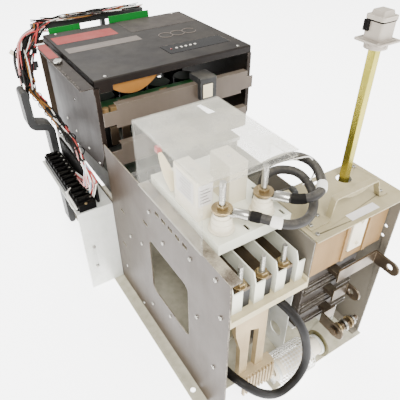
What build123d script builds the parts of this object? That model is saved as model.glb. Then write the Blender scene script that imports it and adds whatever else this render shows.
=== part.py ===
from build123d import *
import math
import os

os.makedirs("parts", exist_ok=True)

# Open chassis with a three-pole rotary air-break switch, a stud terminal bay and an electronic drive.
# Millimetres. The origin is the centre of the base plate's underside, +Z is up,
# the terminal bay is at the -Y end and the drive at the +Y end.

# Chassis
base_width = 438
base_length = 860
base_sheet = 3
base_cut = 55
side_margin = 26
chassis_height = 400
sheet = 2.5
flange = 20
bay_width = 166
side_length = 455
divider_length = 436
rear_side_height = 250
bolt_span_x = 412
bolt_span_y = 680
bolt_hole = 11
gap = 0.3

left = side_margin - base_width / 2
right = -left
near = -base_length / 2
far = base_length / 2
divider = left + bay_width
module_width = right - divider
floor = base_sheet + gap

# Window of the left side plate, measured from the near end and from the floor
window_start = 122
window_length = 148
window_low = 135
window_high = 279

# Pan-head screws
screw_head = 8
screw_head_height = 3
screw_shank = 4
screw_hole = 4.4

# Switch module
module_depth = 134
top_plate_z = chassis_height - sheet
shaft_side = 14
shaft_hole = 29
shaft_inset_right = 57
shaft_setback = 102
shaft_rise = 252
crank_radius = 22
link_width = 14
link_sheet = 5
pin_radius = 4
pin_clearance = 0.06
rotor_offset = 57
pole_pitch = 55
pole_base = 112.5
pole_count = 3
pole_length_x = 140
pole_length_y = 124
pole_wall = 4
rotor_radius = 15
blade_reach = 46
blade_width = 16
blade_sheet = 5
jaw_sheet = 2.5
jaw_width = 18
strap_sheet = 4
strap_height = 30
strap_hole = 13
strap_overhangs = [40, 16, 40]
strap_hole_setback = 20
strap_steps = [-23, 33, 96]

# Terminal bay
shelf_height = 307
barrier_pitch = 43
barrier_start = 15
barrier_sheet = 2.2
barrier_near = 14
barrier_depth = 96
barrier_height = 66
tray_stud_radius = 5
shelf_stud_radius = 4
shelf_root_radius = 5
shelf_stud_setback = 28
shelf_bar_rise = 38
tray_rise = 18
tray_setback = 62
tray_depth = 218
standoff_radius = 21
standoff_height = 32
standoff_setback = 93
standoff_inset = 47
standoff_pitch = 79
cover_height = 131
cover_wall = 2.5
cover_setback = 73
cover_depth = 218
cover_notch = 64
cable_radius = 7.5
lower_cable_radius = 8

# Drive
drive_setback = 461
drive_length = 329
drive_width = 380
drive_rise = 134
drive_wall = 2
drive_floor_z = 290
lid_thickness = 16
fan_radius = 52

drive_near = near + drive_setback
drive_far = drive_near + drive_length
drive_right = left + drive_width
drive_top = chassis_height + drive_rise


def block(x, y, z, mode=Mode.ADD):
    # A box between the low and high value of each axis.
    with Locations(((x[0] + x[1]) / 2, (y[0] + y[1]) / 2, (z[0] + z[1]) / 2)):
        Box(x[1] - x[0], y[1] - y[0], z[1] - z[0], mode=mode)


def rod(at, radius, length, axis="Z", mode=Mode.ADD):
    # A cylinder that starts at a point and runs along +X, +Y or +Z.
    turn = {"X": (0, 90, 0), "Y": (-90, 0, 0), "Z": (0, 0, 0)}[axis]
    with Locations(Location(at, turn)):
        Cylinder(radius, length, align=(Align.CENTER, Align.CENTER, Align.MIN), mode=mode)


def ring(at, outer, inner, length, axis="Z"):
    # A plain washer, sleeve or tube.
    turn = {"X": (0, 90, 0), "Y": (-90, 0, 0), "Z": (0, 0, 0)}[axis]
    with BuildPart(mode=Mode.PRIVATE) as made:
        Cylinder(outer, length, align=(Align.CENTER, Align.CENTER, Align.MIN))
        Cylinder(inner, length, align=(Align.CENTER, Align.CENTER, Align.MIN), mode=Mode.SUBTRACT)
    add(made.part.moved(Location(at, turn)))


def dome_screw(at, direction, grip):
    # A pan-head screw whose head rests on a face at the point; the shank runs back through the sheet.
    with BuildPart(mode=Mode.PRIVATE) as made:
        Cylinder(screw_head / 2, screw_head_height, align=(Align.CENTER, Align.CENTER, Align.MIN))
        fillet(made.edges().group_by(Axis.Z)[-1], screw_head_height * 0.6)
        with Locations((0, 0, -grip)):
            Cylinder(screw_shank / 2, grip, align=(Align.CENTER, Align.CENTER, Align.MIN))
        with Locations((0, 0, screw_head_height)):
            Box(screw_head * 0.62, 1, 2, mode=Mode.SUBTRACT)
            Box(1, screw_head * 0.62, 2, mode=Mode.SUBTRACT)
    add(made.part.moved(Plane(origin=at, z_dir=direction).location))


def save(part, name):
    part.label = name
    export_step(part, "parts/" + name + ".step")


# Positions on the left side plate: distance from the near end, height
side_screws = [(37, 380), (21, 308), (111, 360), (92, 232), (37, 150), (195, 120), (207, 318)]
side_screws += [(256, 358), (280, 72), (306, 238), (333, 20), (366, 212), (414, 78)]
side_slots = [(280, 313), (398, 262), (414, 150)]
recess_count = 5

# The near edge is cut back except under the switch module and the foot of the resistor's first band
band_foot = left + 137
base_cuts = [(-base_width / 2 - 1, band_foot - 11), (band_foot + 11, left + 240)]
base_cuts += [(right, base_width / 2 + 1)]
with BuildPart() as base_plate:
    with BuildSketch():
        Rectangle(base_width, base_length)
        for cut in base_cuts:
            with Locations(((cut[0] + cut[1]) / 2, near)):
                Rectangle(cut[1] - cut[0], 2 * base_cut, mode=Mode.SUBTRACT)
        with GridLocations(bolt_span_x, bolt_span_y, 2, 2):
            Circle(bolt_hole / 2, mode=Mode.SUBTRACT)
    extrude(amount=base_sheet)
save(base_plate.part, "base_plate")

with BuildPart() as left_side_plate:
    block((left, left + sheet), (near, near + side_length), (floor, chassis_height))
    block((left, left + sheet), (near + side_length, far), (floor, rear_side_height))
    block((left, left + flange), (near, near + cover_setback + cover_depth), (top_plate_z, chassis_height))
    block((left, left + flange), (near, far), (floor, floor + sheet))
    fillet(left_side_plate.edges().filter_by(Axis.Y).sort_by(Axis.Z)[-1], 1.2)
    with BuildSketch(Plane.YZ.offset(left - 1)):
        with Locations((near + window_start + window_length / 2, (window_low + window_high) / 2)):
            RectangleRounded(window_length, window_high - window_low, 14)
        for along, height in side_screws:
            with Locations((near + along, height)):
                Circle(screw_hole / 2)
        for along, height in side_slots:
            with Locations((near + along, height)):
                SlotOverall(22, 7)
        for step in range(recess_count):
            with Locations((near + 128 + 24 * step, chassis_height - 26)):
                Rectangle(15, 8)
    extrude(amount=sheet + 2, mode=Mode.SUBTRACT)
save(left_side_plate.part, "left_side_plate")

right_holes = [(24, 314), (25, 290)]
with BuildPart() as right_side_plate:
    block((right - sheet, right), (near + 8, near + module_depth), (floor, top_plate_z - gap))
    block((right - sheet, right), (near + module_depth, far), (floor, rear_side_height))
    block((right - flange, right), (near + 8, far), (floor, floor + sheet))
    with BuildSketch(Plane.YZ.offset(right + 1)):
        for along, height in right_holes:
            with Locations((near + along, height)):
                Circle(3.5)
    extrude(amount=-sheet - 2, mode=Mode.SUBTRACT)
save(right_side_plate.part, "right_side_plate")

with BuildPart() as divider_plate:
    block((divider - sheet, divider), (near + 4, near + divider_length), (floor, top_plate_z - gap))
    block((divider - flange, divider), (near + 4, near + divider_length), (floor, floor + sheet))
    cut_x = (divider - flange - 1, divider + 1)
    block(cut_x, (near, near + 112), (0, shelf_height - 9), mode=Mode.SUBTRACT)
    with BuildSketch(Plane.YZ.offset(divider - sheet - 1)):
        with Locations((near + 300, 180)):
            RectangleRounded(150, 160, 20)
    extrude(amount=sheet + 2, mode=Mode.SUBTRACT)
save(divider_plate.part, "divider_plate")

# The rear panel closes the far end and has the outlet slots of the cooling air
rear_panel_z = drive_top - 30
with BuildPart() as rear_panel:
    block((left, right), (far - sheet - 4, far - 4), (rear_side_height + gap, rear_panel_z))
    with Locations((0, far - 4 - sheet / 2, (rear_side_height + rear_panel_z) / 2)):
        with GridLocations(70, 1, 5, 1):
            for step in range(-4, 5):
                with Locations((0, 0, 24 * step)):
                    Box(52, sheet * 3, 10, mode=Mode.SUBTRACT)
    foot_z = (rear_side_height + gap, rear_side_height + gap + sheet)
    block((left, right), (far - flange, far - 4), foot_z)
save(rear_panel.part, "rear_panel")

# Galvanised bracket beside the left plate that carries the control terminal strip: one leg at the near end,
# a top, and a flange against the left plate
bracket_near = near + 458
bracket_top = 244
bracket_out = 84
bracket_length = 262
with BuildPart() as terminal_bracket:
    bracket_x = (left - bracket_out, left - gap)
    block(bracket_x, (bracket_near, bracket_near + sheet), (floor, bracket_top))
    block(bracket_x, (bracket_near, bracket_near + bracket_length), (bracket_top - sheet, bracket_top))
    bracket_far = bracket_near + bracket_length
    block((left - sheet - gap, left - gap), (bracket_near, bracket_far), (bracket_top - 40, bracket_top))
    with BuildSketch(Plane.XZ.offset(-bracket_near - sheet - 1)):
        for height in (136, 73):
            with Locations((left - 62, height)):
                Circle(screw_hole / 2)
    extrude(amount=sheet + 2, mode=Mode.SUBTRACT)
save(terminal_bracket.part, "terminal_bracket")

shaft_x = right - shaft_inset_right
shaft_y = near + shaft_setback
rotor_x = shaft_x - rotor_offset
handle_screws = [(divider + 15, near + 34), (divider + 42, near + 47), (right - 36, near + 37)]
top_screws = [(divider + 12, near + 15), (divider + 16, near + 118), (right - 14, near + 118)]
with BuildPart() as switch_top_plate:
    with BuildSketch(Plane.XY.offset(top_plate_z)):
        with Locations(((divider + right) / 2, near + module_depth / 2)):
            Rectangle(module_width, module_depth)
        with Locations((shaft_x, shaft_y)):
            Circle(shaft_hole / 2, mode=Mode.SUBTRACT)
        for point in handle_screws + top_screws:
            with Locations(point):
                Circle(screw_hole / 2, mode=Mode.SUBTRACT)
        with Locations((divider + 112, near + module_depth - 14)):
            Rectangle(20, 9, mode=Mode.SUBTRACT)
    extrude(amount=sheet)
save(switch_top_plate.part, "switch_top_plate")

# Pressed strap handle on top of the switch module, with a stiffening web under its grip
grip_z = chassis_height + 40
grip_y = near + 28
with BuildPart() as pull_handle:
    strap = 12
    foot_z = (chassis_height + gap, chassis_height + gap + 2.5)
    block((divider + 8, divider + 49), (grip_y - 3, grip_y + 25), foot_z)
    block((right - 44, right - 28), (grip_y - 1, grip_y + 15), foot_z)
    with BuildSketch(Plane.XZ.offset(-grip_y)):
        with BuildLine():
            FilletPolyline(
                (divider + 47, chassis_height + gap + 1.2),
                (divider + 54, chassis_height + gap + 1.2),
                (divider + 59, grip_z),
                (right - 62, grip_z),
                (right - 47, chassis_height + gap + 1.2),
                (right - 28, chassis_height + gap + 1.2),
                radius=4,
            )
            offset(amount=1.2)
        make_face()
    extrude(amount=-strap)
    with BuildSketch(Plane.XZ.offset(-grip_y - 5)):
        with BuildLine():
            start = (divider + 74, grip_z - 1)
            end = (right - 66, grip_z - 1)
            ThreePointArc(start, ((start[0] + end[0]) / 2, grip_z - 15), end)
            Line(end, start)
        make_face()
    extrude(amount=-2)
    for x, y in handle_screws:
        rod((x, y, chassis_height), screw_hole / 2, 6, mode=Mode.SUBTRACT)
save(pull_handle.part, "pull_handle")

# Frame of the operating mechanism, between the top plate and the pole stack
mech_floor_z = pole_base + pole_count * pole_pitch + gap
mech_left = rotor_x - 76
mech_right = right - 6
mech_near = near + 30
mech_far = near + module_depth - 4
with BuildPart() as mechanism_frame:
    block((mech_left, mech_right), (mech_near, mech_far), (mech_floor_z, mech_floor_z + sheet))
    for x in (mech_left, mech_right - sheet):
        block((x, x + sheet), (mech_near, mech_far), (mech_floor_z, top_plate_z - gap))
    rod((rotor_x, shaft_y, mech_floor_z - 1), rotor_radius + 4 + gap, 10, mode=Mode.SUBTRACT)
    rod((shaft_x, shaft_y, mech_floor_z - 1), shaft_side * 0.5 + gap, 10, mode=Mode.SUBTRACT)
save(mechanism_frame.part, "mechanism_frame")

# Insulating front of the mechanism with a window for the auxiliary switch
fibre_y = (mech_near - 3 - gap, mech_near - gap)
aux_x = (rotor_x + 10, rotor_x + 46)
with BuildPart() as fibre_panel:
    block((mech_left, mech_right), fibre_y, (mech_floor_z, top_plate_z - gap))
    window_z = (mech_floor_z + 18, top_plate_z - 14)
    block((aux_x[0] - 2, aux_x[1] + 2), (fibre_y[0] - 1, fibre_y[1] + 1), window_z, mode=Mode.SUBTRACT)
    batten_y = (fibre_y[0] - 4, fibre_y[0] + 1)
    for x in (aux_x[0] - 14, aux_x[1] + 6):
        block((x, x + 8), batten_y, (mech_floor_z + 4, top_plate_z - 4))
save(fibre_panel.part, "fibre_panel")

with BuildPart() as auxiliary_switch:
    block(aux_x, (fibre_y[0] - 4, fibre_y[1] + 12), (mech_floor_z + 22, top_plate_z - 18))
    fillet(auxiliary_switch.edges().filter_by(Axis.Z), 2)
    for height in (mech_floor_z + 36, top_plate_z - 32):
        rod(((aux_x[0] + aux_x[1]) / 2, fibre_y[0] - 9, height), 3, 6, "Y")
save(auxiliary_switch.part, "auxiliary_switch")

# Moulded pole housings, one above another, each an open tray closed by the next
poles = [pole_base + pole_pitch * (i + 0.5) for i in range(pole_count)]
pole_x = (rotor_x - pole_length_x / 2, rotor_x + pole_length_x / 2)
pole_y = (shaft_y - pole_length_y / 2, shaft_y + pole_length_y / 2)
deck_bolts = [(pole_x[0] + 8, pole_y[0] + 8), (pole_x[1] - 8, pole_y[0] + 8)]
deck_bolts += [(pole_x[0] + 8, pole_y[1] - 8), (pole_x[1] - 8, pole_y[1] - 8)]
with BuildPart() as pole_housings:
    for centre in poles:
        low = centre - pole_pitch / 2
        high = centre + pole_pitch / 2 - 0.1
        block(pole_x, pole_y, (low, high))
        inner_x = (pole_x[0] + pole_wall, pole_x[1] - pole_wall)
        inner_y = (pole_y[0] + pole_wall, pole_y[1] - pole_wall)
        block(inner_x, inner_y, (low + pole_wall, high + 1), mode=Mode.SUBTRACT)
        rod((rotor_x, shaft_y, low - 1), rotor_radius + 1, pole_wall + 2, mode=Mode.SUBTRACT)
        for x, y in deck_bolts:
            rod((x, y, low), 6, pole_pitch - 0.1)
            rod((x, y, low - 1), 2.8, pole_pitch + 2, mode=Mode.SUBTRACT)
        for y in pole_y:
            slot_y = (y - pole_wall * 2, y + pole_wall * 2)
            slot_x = (rotor_x - jaw_width / 2 - 1, rotor_x + jaw_width / 2 + 1)
            block(slot_x, slot_y, (centre - 7, centre + 7), mode=Mode.SUBTRACT)
        # Level ribs that lengthen the creepage path over the near wall
        for rise in (1, 11, pole_pitch - 14, pole_pitch - 4):
            block((pole_x[0] + 3, pole_x[1] - 3), (pole_y[0] - 5, pole_y[0]), (low + rise, low + rise + 3))
save(pole_housings.part, "pole_housings")

# Bracket that carries the pole stack at its height above the base
leg_x = (pole_x[0] - 4 - sheet, pole_x[1] + 4)
with BuildPart() as switch_bracket:
    shelf_z = pole_base - sheet - gap
    block((leg_x[0], leg_x[1] + sheet), (pole_y[0] + 1, pole_y[1]), (shelf_z, shelf_z + sheet))
    for x, foot in ((leg_x[0], 22), (leg_x[1], -18)):
        leg_y = (pole_y[0] + 16, pole_y[1])
        block((x, x + sheet), leg_y, (floor, mech_floor_z - gap))
        block((min(x, x + foot), max(x + sheet, x + foot)), leg_y, (floor, floor + sheet))
        rod((x - 1, shaft_y - 16, 62), 17, sheet + 2, "X", mode=Mode.SUBTRACT)
    rod((rotor_x, shaft_y, shelf_z - 1), rotor_radius + 1, 6, mode=Mode.SUBTRACT)
    for x, y in deck_bolts:
        rod((x, y, shelf_z - 1), 2.8, 6, mode=Mode.SUBTRACT)
save(switch_bracket.part, "switch_bracket")

# Insulating rotor that carries the three moving blades
crank_z = mech_floor_z + 14
crank_sheet = 6
rotor_top = crank_z + crank_sheet
with BuildPart() as contact_rotor:
    rod((rotor_x, shaft_y, pole_base - 12), rotor_radius, rotor_top - pole_base + 12)
    for centre in poles:
        slot_x = (rotor_x - rotor_radius - 1, rotor_x + rotor_radius + 1)
        slot_y = (shaft_y - blade_width / 2 - 0.02, shaft_y + blade_width / 2 + 0.02)
        slot_z = (centre - blade_sheet / 2 - 0.02, centre + blade_sheet / 2 + 0.02)
        block(slot_x, slot_y, slot_z, mode=Mode.SUBTRACT)
save(contact_rotor.part, "contact_rotor")

with BuildPart() as moving_blades:
    for centre in poles:
        blade_x = (rotor_x - blade_reach, rotor_x + blade_reach)
        blade_y = (shaft_y - blade_width / 2, shaft_y + blade_width / 2)
        block(blade_x, blade_y, (centre - blade_sheet / 2, centre + blade_sheet / 2))
    fillet(moving_blades.edges().filter_by(Axis.Z), 5)
save(moving_blades.part, "moving_blades")


def contact(sign, centre, step, reach):
    # A fixed contact: two leaves that take the blade, a stem through the wall, and a strap on edge.
    def ys(a, b):
        return tuple(sorted((shaft_y + sign * a, shaft_y + sign * b)))

    half = blade_sheet / 2 + gap
    x = (rotor_x - jaw_width / 2, rotor_x + jaw_width / 2)
    wall = pole_length_y / 2
    for low, high in ((half, half + jaw_sheet), (-half - jaw_sheet, -half)):
        block(x, ys(blade_reach - 10, blade_reach + 5), (centre + low, centre + high))
    block(x, ys(blade_reach + 2, wall + 22), (centre - half - jaw_sheet, centre + half + jaw_sheet))
    bar_x = tuple(sorted((rotor_x, rotor_x + step)))
    bar_x = (bar_x[0] - strap_sheet, bar_x[1])
    tall = (centre - strap_height / 2, centre + strap_height / 2)
    block((min(bar_x[0], x[0]), max(bar_x[1], x[1])), ys(wall + 22, wall + 22 + strap_sheet), tall)
    tail = rotor_x + step
    half_height = strap_height / 2
    block((tail - strap_sheet, tail), ys(wall + 22, reach - half_height), tall)
    rod((tail - strap_sheet, shaft_y + sign * (reach - half_height), centre), half_height, strap_sheet, "X")
    hole_y = shaft_y + sign * (reach - strap_hole_setback)
    rod((tail - 20, hole_y, centre), strap_hole / 2, 40, "X", mode=Mode.SUBTRACT)


with BuildPart() as line_contacts:
    for centre, step, overhang in zip(poles, strap_steps, strap_overhangs):
        contact(-1, centre, step, shaft_setback + overhang)
save(line_contacts.part, "line_contacts")

with BuildPart() as load_contacts:
    for centre in poles:
        contact(1, centre, 0, pole_length_y / 2 + 70)
save(load_contacts.part, "load_contacts")

# Arc plates: thin notched steel plates round the path of each blade tip
arc_angles = [45, 55, 65]
with BuildPart() as arc_plates:
    for centre in poles:
        for base_angle in (0, 180):
            for angle in arc_angles:
                spot = Location((rotor_x, shaft_y, centre), (0, 0, base_angle + angle))
                with Locations(spot * Location((blade_reach + 1, 0, 0))):
                    Box(17, 1.5, 32)
                with Locations(spot * Location((blade_reach - 4, 0, 0))):
                    Box(14, 4, blade_sheet + 3, mode=Mode.SUBTRACT)
save(arc_plates.part, "arc_plates")

# Square operating shaft with its round journals, and the crank keyed on it
shaft_top = chassis_height + shaft_rise
with BuildPart() as operating_shaft:
    with BuildSketch(Plane.XY.offset(mech_floor_z + 6)):
        with Locations((shaft_x, shaft_y)):
            Rectangle(shaft_side, shaft_side)
    extrude(amount=shaft_top - mech_floor_z - 6)
    fillet(operating_shaft.edges().filter_by(Axis.Z), 1.2)
    rod((shaft_x, shaft_y, mech_floor_z - gap), shaft_side / 2 - 0.05, 7)
save(operating_shaft.part, "operating_shaft")

with BuildPart() as shaft_crank:
    with BuildSketch(Plane.XY.offset(crank_z)):
        with Locations((shaft_x, shaft_y)):
            Circle(17)
        with Locations((shaft_x, shaft_y + crank_radius)):
            Circle(8)
        with Locations((shaft_x, shaft_y + crank_radius / 2)):
            Rectangle(16, crank_radius)
        with Locations((shaft_x, shaft_y)):
            Rectangle(shaft_side + 0.1, shaft_side + 0.1, mode=Mode.SUBTRACT)
    extrude(amount=crank_sheet)
    rod((shaft_x, shaft_y + crank_radius, crank_z), pin_radius, crank_sheet + link_sheet + 3)
save(shaft_crank.part, "shaft_crank")

with BuildPart() as rotor_crank:
    with BuildSketch(Plane.XY.offset(crank_z)):
        with Locations((rotor_x, shaft_y)):
            Circle(rotor_radius + 5)
        with Locations((rotor_x, shaft_y + crank_radius)):
            Circle(8)
        with Locations((rotor_x, shaft_y)):
            Circle(rotor_radius + 0.02, mode=Mode.SUBTRACT)
    extrude(amount=crank_sheet)
    rod((rotor_x, shaft_y + crank_radius, crank_z + 0.5), pin_radius, crank_sheet + link_sheet + 2.5)
save(rotor_crank.part, "rotor_crank")

# Link that makes the rotor turn with the shaft, one round hole on each crank pin
link_z = crank_z + crank_sheet + gap
with BuildPart() as coupling_link:
    with BuildSketch(Plane.XY.offset(link_z)):
        with Locations(((shaft_x + rotor_x) / 2, shaft_y + crank_radius)):
            SlotCenterToCenter(rotor_offset, link_width)
        for x in (shaft_x, rotor_x):
            with Locations((x, shaft_y + crank_radius)):
                Circle(pin_radius + pin_clearance, mode=Mode.SUBTRACT)
    extrude(amount=link_sheet)
save(coupling_link.part, "coupling_link")

# Head on the shaft's end: hub, door flange, squared housing, gasket and cap
hub_z = shaft_top - 9
flange_z = shaft_top + 1
with BuildPart() as shaft_hub:
    rod((shaft_x, shaft_y, hub_z), 18, flange_z - hub_z - gap)
    with BuildSketch(Plane.XY.offset(hub_z - 1)):
        with Locations((shaft_x, shaft_y)):
            Rectangle(shaft_side + 0.1, shaft_side + 0.1)
    extrude(amount=flange_z - hub_z + 1, mode=Mode.SUBTRACT)
    for angle in (0, 90, 180, 270):
        out = Location((shaft_x, shaft_y, hub_z + 5), (0, 0, angle))
        with Locations(out * Location((17.5, 0, 0), (0, 90, 0))):
            Cylinder(2.5, 4)
save(shaft_hub.part, "shaft_hub")

flange_side = 50
flange_hole_span = 40
with BuildPart() as coupling_flange:
    with BuildSketch(Plane.XY.offset(flange_z)):
        with Locations((shaft_x, shaft_y)):
            RectangleRounded(flange_side, flange_side, 5)
            with GridLocations(flange_hole_span, flange_hole_span, 2, 2):
                Circle(2.25, mode=Mode.SUBTRACT)
    extrude(amount=3)
save(coupling_flange.part, "coupling_flange")

head_z = flange_z + 3 + gap
with BuildPart() as head_housing:
    block((shaft_x - 15.5, shaft_x + 15.5), (shaft_y - 15.5, shaft_y + 15.5), (head_z, head_z + 26))
    fillet(head_housing.edges().filter_by(Axis.Z), 3)
    with Locations((shaft_x, shaft_y, head_z + 10.5)):
        Box(24, 24, 23, mode=Mode.SUBTRACT)
save(head_housing.part, "head_housing")

cap_z = head_z + 26 + 2.6
with BuildPart() as head_cap:
    with BuildSketch(Plane.XY.offset(cap_z)):
        with Locations((shaft_x, shaft_y)):
            RectangleRounded(34, 34, 4)
    extrude(amount=6)
    with BuildSketch(Plane.XY.offset(cap_z + 6)):
        with Locations((shaft_x, shaft_y)):
            RectangleRounded(26, 26, 3)
    extrude(amount=7, taper=20)
save(head_cap.part, "head_cap")

# Shelf of the terminal bay: floor, near lip and end cheeks
bay_left = left + sheet + gap
bay_right = divider - sheet - gap
with BuildPart() as shelf_pan:
    block((bay_left, bay_right), (near + 1, near + 230), (shelf_height, shelf_height + sheet))
    block((bay_left, bay_right), (near + 1, near + 1 + sheet), (shelf_height - 9, shelf_height + 5))
    for x in (bay_left, bay_right - sheet):
        block((x, x + sheet), (near + 1, near + 230), (shelf_height, shelf_height + 14))
save(shelf_pan.part, "shelf_pan")

barrier_low = shelf_height + sheet + gap
with BuildPart() as phase_barriers:
    for step in range(4):
        x = left + barrier_start + barrier_pitch * step
        with BuildSketch(Plane.YZ.offset(x)):
            with BuildLine():
                y = near + barrier_near
                Polyline(
                    (y, barrier_low),
                    (y + barrier_depth, barrier_low),
                    (y + barrier_depth, barrier_low + barrier_height),
                    (y + 7, barrier_low + barrier_height),
                    (y, barrier_low + barrier_height - 20),
                    close=True,
                )
            make_face()
        extrude(amount=barrier_sheet)
        lip = min(x + 20, bay_right - sheet - gap)
        lip_y = (near + barrier_near, near + barrier_near + barrier_sheet)
        block((x, lip), lip_y, (barrier_low, barrier_low + barrier_height - 20))
save(phase_barriers.part, "phase_barriers")

shelf_studs_x = [left + barrier_start + barrier_sheet / 2 + barrier_pitch * (i + 0.5) for i in range(3)]
shelf_stud_y = near + shelf_stud_setback
bar_z = barrier_low + shelf_bar_rise
bar_sheet = 6
with BuildPart() as terminal_blocks:
    for x in shelf_studs_x:
        block((x - 15, x + 15), (shelf_stud_y - 10, shelf_stud_y + 24), (barrier_low, bar_z - gap))
        rod((x, shelf_stud_y, barrier_low + 10), shelf_root_radius + gap, 40, mode=Mode.SUBTRACT)
    fillet(terminal_blocks.edges().filter_by(Axis.Z).filter_by(GeomType.LINE), 2)
save(terminal_blocks.part, "terminal_blocks")

# Flat copper bars: three on the shelf blocks and three behind the drive's near opening
with BuildPart() as busbars:
    for x in shelf_studs_x:
        block((x - 14, x + 14), (shelf_stud_y - 10, near + 190), (bar_z, bar_z + bar_sheet))
        rod((x, shelf_stud_y, bar_z - 1), shelf_root_radius + gap, bar_sheet + 2, mode=Mode.SUBTRACT)
    for step in range(3):
        bar_x = (left + 26 + 26 * step, left + 44 + 26 * step)
        bar_top = drive_floor_z + 130
        block(bar_x, (drive_near + 12, drive_near + 96), (bar_top, bar_top + 4))
        block(bar_x, (drive_near + 12, drive_near + 16), (bar_top - 40, bar_top + 2))
save(busbars.part, "busbars")

# Slotted tray above the shelf, on the flange of the left plate and the top edge of the divider
tray_z = chassis_height + tray_rise
tray_y = (near + tray_setback, near + tray_setback + tray_depth)
tray_x = (left + flange + gap, divider - 4)
standoffs = [(left + standoff_inset + standoff_pitch * i, near + standoff_setback) for i in range(2)]
tray_gland = (divider - 22, near + 122)
with BuildPart() as stud_tray:
    with BuildSketch(Plane.XY.offset(tray_z - sheet)):
        with Locations(((tray_x[0] + tray_x[1]) / 2, (tray_y[0] + tray_y[1]) / 2)):
            Rectangle(tray_x[1] - tray_x[0], tray_depth)
        for x in (standoffs[0][0] + 34, standoffs[1][0] + 26):
            for step in range(6):
                with Locations((x, tray_y[0] + 12 + 36 * step)):
                    SlotOverall(15, 5, rotation=90, mode=Mode.SUBTRACT)
        for x, y in standoffs:
            with Locations((x, y)):
                Circle(tray_stud_radius + gap, mode=Mode.SUBTRACT)
        with Locations(tray_gland):
            Circle(12.2, mode=Mode.SUBTRACT)
    extrude(amount=sheet)
    for x in (tray_x[0], tray_x[1] - sheet):
        block((x, x + sheet), tray_y, (chassis_height - 3, tray_z))
    block(tray_x, (tray_y[0], tray_y[0] + sheet), (chassis_height - 3, tray_z))
save(stud_tray.part, "stud_tray")

standoff_top = tray_z + gap + standoff_height
with BuildPart() as standoff_insulators:
    for x, y in standoffs:
        with BuildSketch(Plane.XZ.offset(-y)):
            with BuildLine():
                r = standoff_radius
                z = tray_z + gap
                Polyline(
                    (x, z), (x + r, z), (x + r, z + 3), (x + r - 3.5, z + 4), (x + r - 3.5, z + 15),
                    (x + r - 5, z + 16), (x + r - 5, z + 25), (x + r - 7, z + 26),
                    (x + r - 7, standoff_top), (x, standoff_top), close=True,
                )
            make_face()
        revolve(axis=Axis((x, y, 0), (0, 0, 1)))
        rod((x, y, z + 4), tray_stud_radius + gap, 60, mode=Mode.SUBTRACT)
save(standoff_insulators.part, "standoff_insulators")

# Zinc-plated studs: two on the standoffs and three on the shelf blocks, whose free ends are thinner
# above the nut
shelf_nut_top = bar_z + bar_sheet + gap + 2.6 + shelf_root_radius * 1.2
with BuildPart() as terminal_studs:
    for x, y in standoffs:
        rod((x, y, tray_z + gap + 6), tray_stud_radius, standoff_height + 50)
    for x in shelf_studs_x:
        rod((x, shelf_stud_y, barrier_low + 12), shelf_root_radius, shelf_nut_top - barrier_low - 12)
        rod((x, shelf_stud_y, shelf_nut_top), shelf_stud_radius, chassis_height - 5 - shelf_nut_top)
save(terminal_studs.part, "terminal_studs")

# Each stud carries a wide washer and a hexagon nut; the cable lugs are clamped under the tray's washers
lug_sheet = 4
lug_z = standoff_top + gap
with BuildPart() as stud_nuts:
    places = [(x, y, lug_z + lug_sheet + gap, 16.5, tray_stud_radius, 4) for x, y in standoffs]
    places += [(x, shelf_stud_y, bar_z + bar_sheet + gap, 12, shelf_root_radius, 2.5) for x in shelf_studs_x]
    for x, y, z, washer, stud, thick in places:
        ring((x, y, z), washer, stud + gap, thick)
        with BuildSketch(Plane.XY.offset(z + thick + 0.1)):
            with Locations((x, y)):
                RegularPolygon(stud * 1.9, 6)
                Circle(stud + gap, mode=Mode.SUBTRACT)
        extrude(amount=stud * 1.2)
save(stud_nuts.part, "stud_nuts")


def lug(at, angle):
    # A crimped cable lug: palm with a stud hole, then a barrel that takes the cable.
    with BuildPart(mode=Mode.PRIVATE) as made:
        with BuildSketch():
            Circle(12)
            with Locations((11, 0)):
                Rectangle(22, 17)
            Circle(tray_stud_radius + gap, mode=Mode.SUBTRACT)
        extrude(amount=lug_sheet)
        with Locations(Location((19, 0, lug_sheet / 2), (0, 90, 0))):
            Cylinder(cable_radius + 0.8, 22, align=(Align.CENTER, Align.CENTER, Align.MIN))
    add(made.part.moved(Location(at, (0, 0, angle))))


lug_angle = -49
with BuildPart() as cable_lugs:
    for x, y in standoffs:
        lug((x, y, lug_z), lug_angle)
save(cable_lugs.part, "cable_lugs")

# Power cables. Each route is a short list of points; every corner is an arc as large as its runs allow.
lug_out = 41 + gap
lug_dx = lug_out * math.cos(math.radians(lug_angle))
lug_dy = lug_out * math.sin(math.radians(lug_angle))
cable_z = lug_z + lug_sheet / 2


def route_from(lug_at, points):
    start = Vector(lug_at[0] + lug_dx, lug_at[1] + lug_dy, cable_z)
    straight = Vector(lug_at[0] + 1.5 * lug_dx, lug_at[1] + 1.5 * lug_dy, cable_z)
    return [start, straight] + [Vector(left + x, near + y, chassis_height + z) for x, y, z in points]


def corner_radii(points):
    # 0.45 of the shorter run, divided by the tangent of half the turn.
    radii = []
    for a, b, c in zip(points, points[1:], points[2:]):
        turn = math.radians((b - a).get_angle(c - b))
        radii.append(0.45 * min((b - a).length, (c - b).length) / math.tan(turn / 2))
    return radii


def cable(points, radius, name):
    # The tube of a cable, with its corner radii and the volume test printed.
    radii = corner_radii(points)
    print(name, "radii", [round(r) for r in radii])
    with BuildPart() as tube:
        with BuildLine() as line:
            FilletPolyline(*points, radius=radii)
        with BuildSketch(Plane(origin=points[0], z_dir=points[1] - points[0])):
            Circle(radius)
        sweep(path=line.wires()[0])
    length = line.wires()[0].length
    share = tube.part.volume / (math.pi * radius**2 * length)
    print(name, "length", round(length), "volume share", round(share, 4))
    save(tube.part, name)


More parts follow.
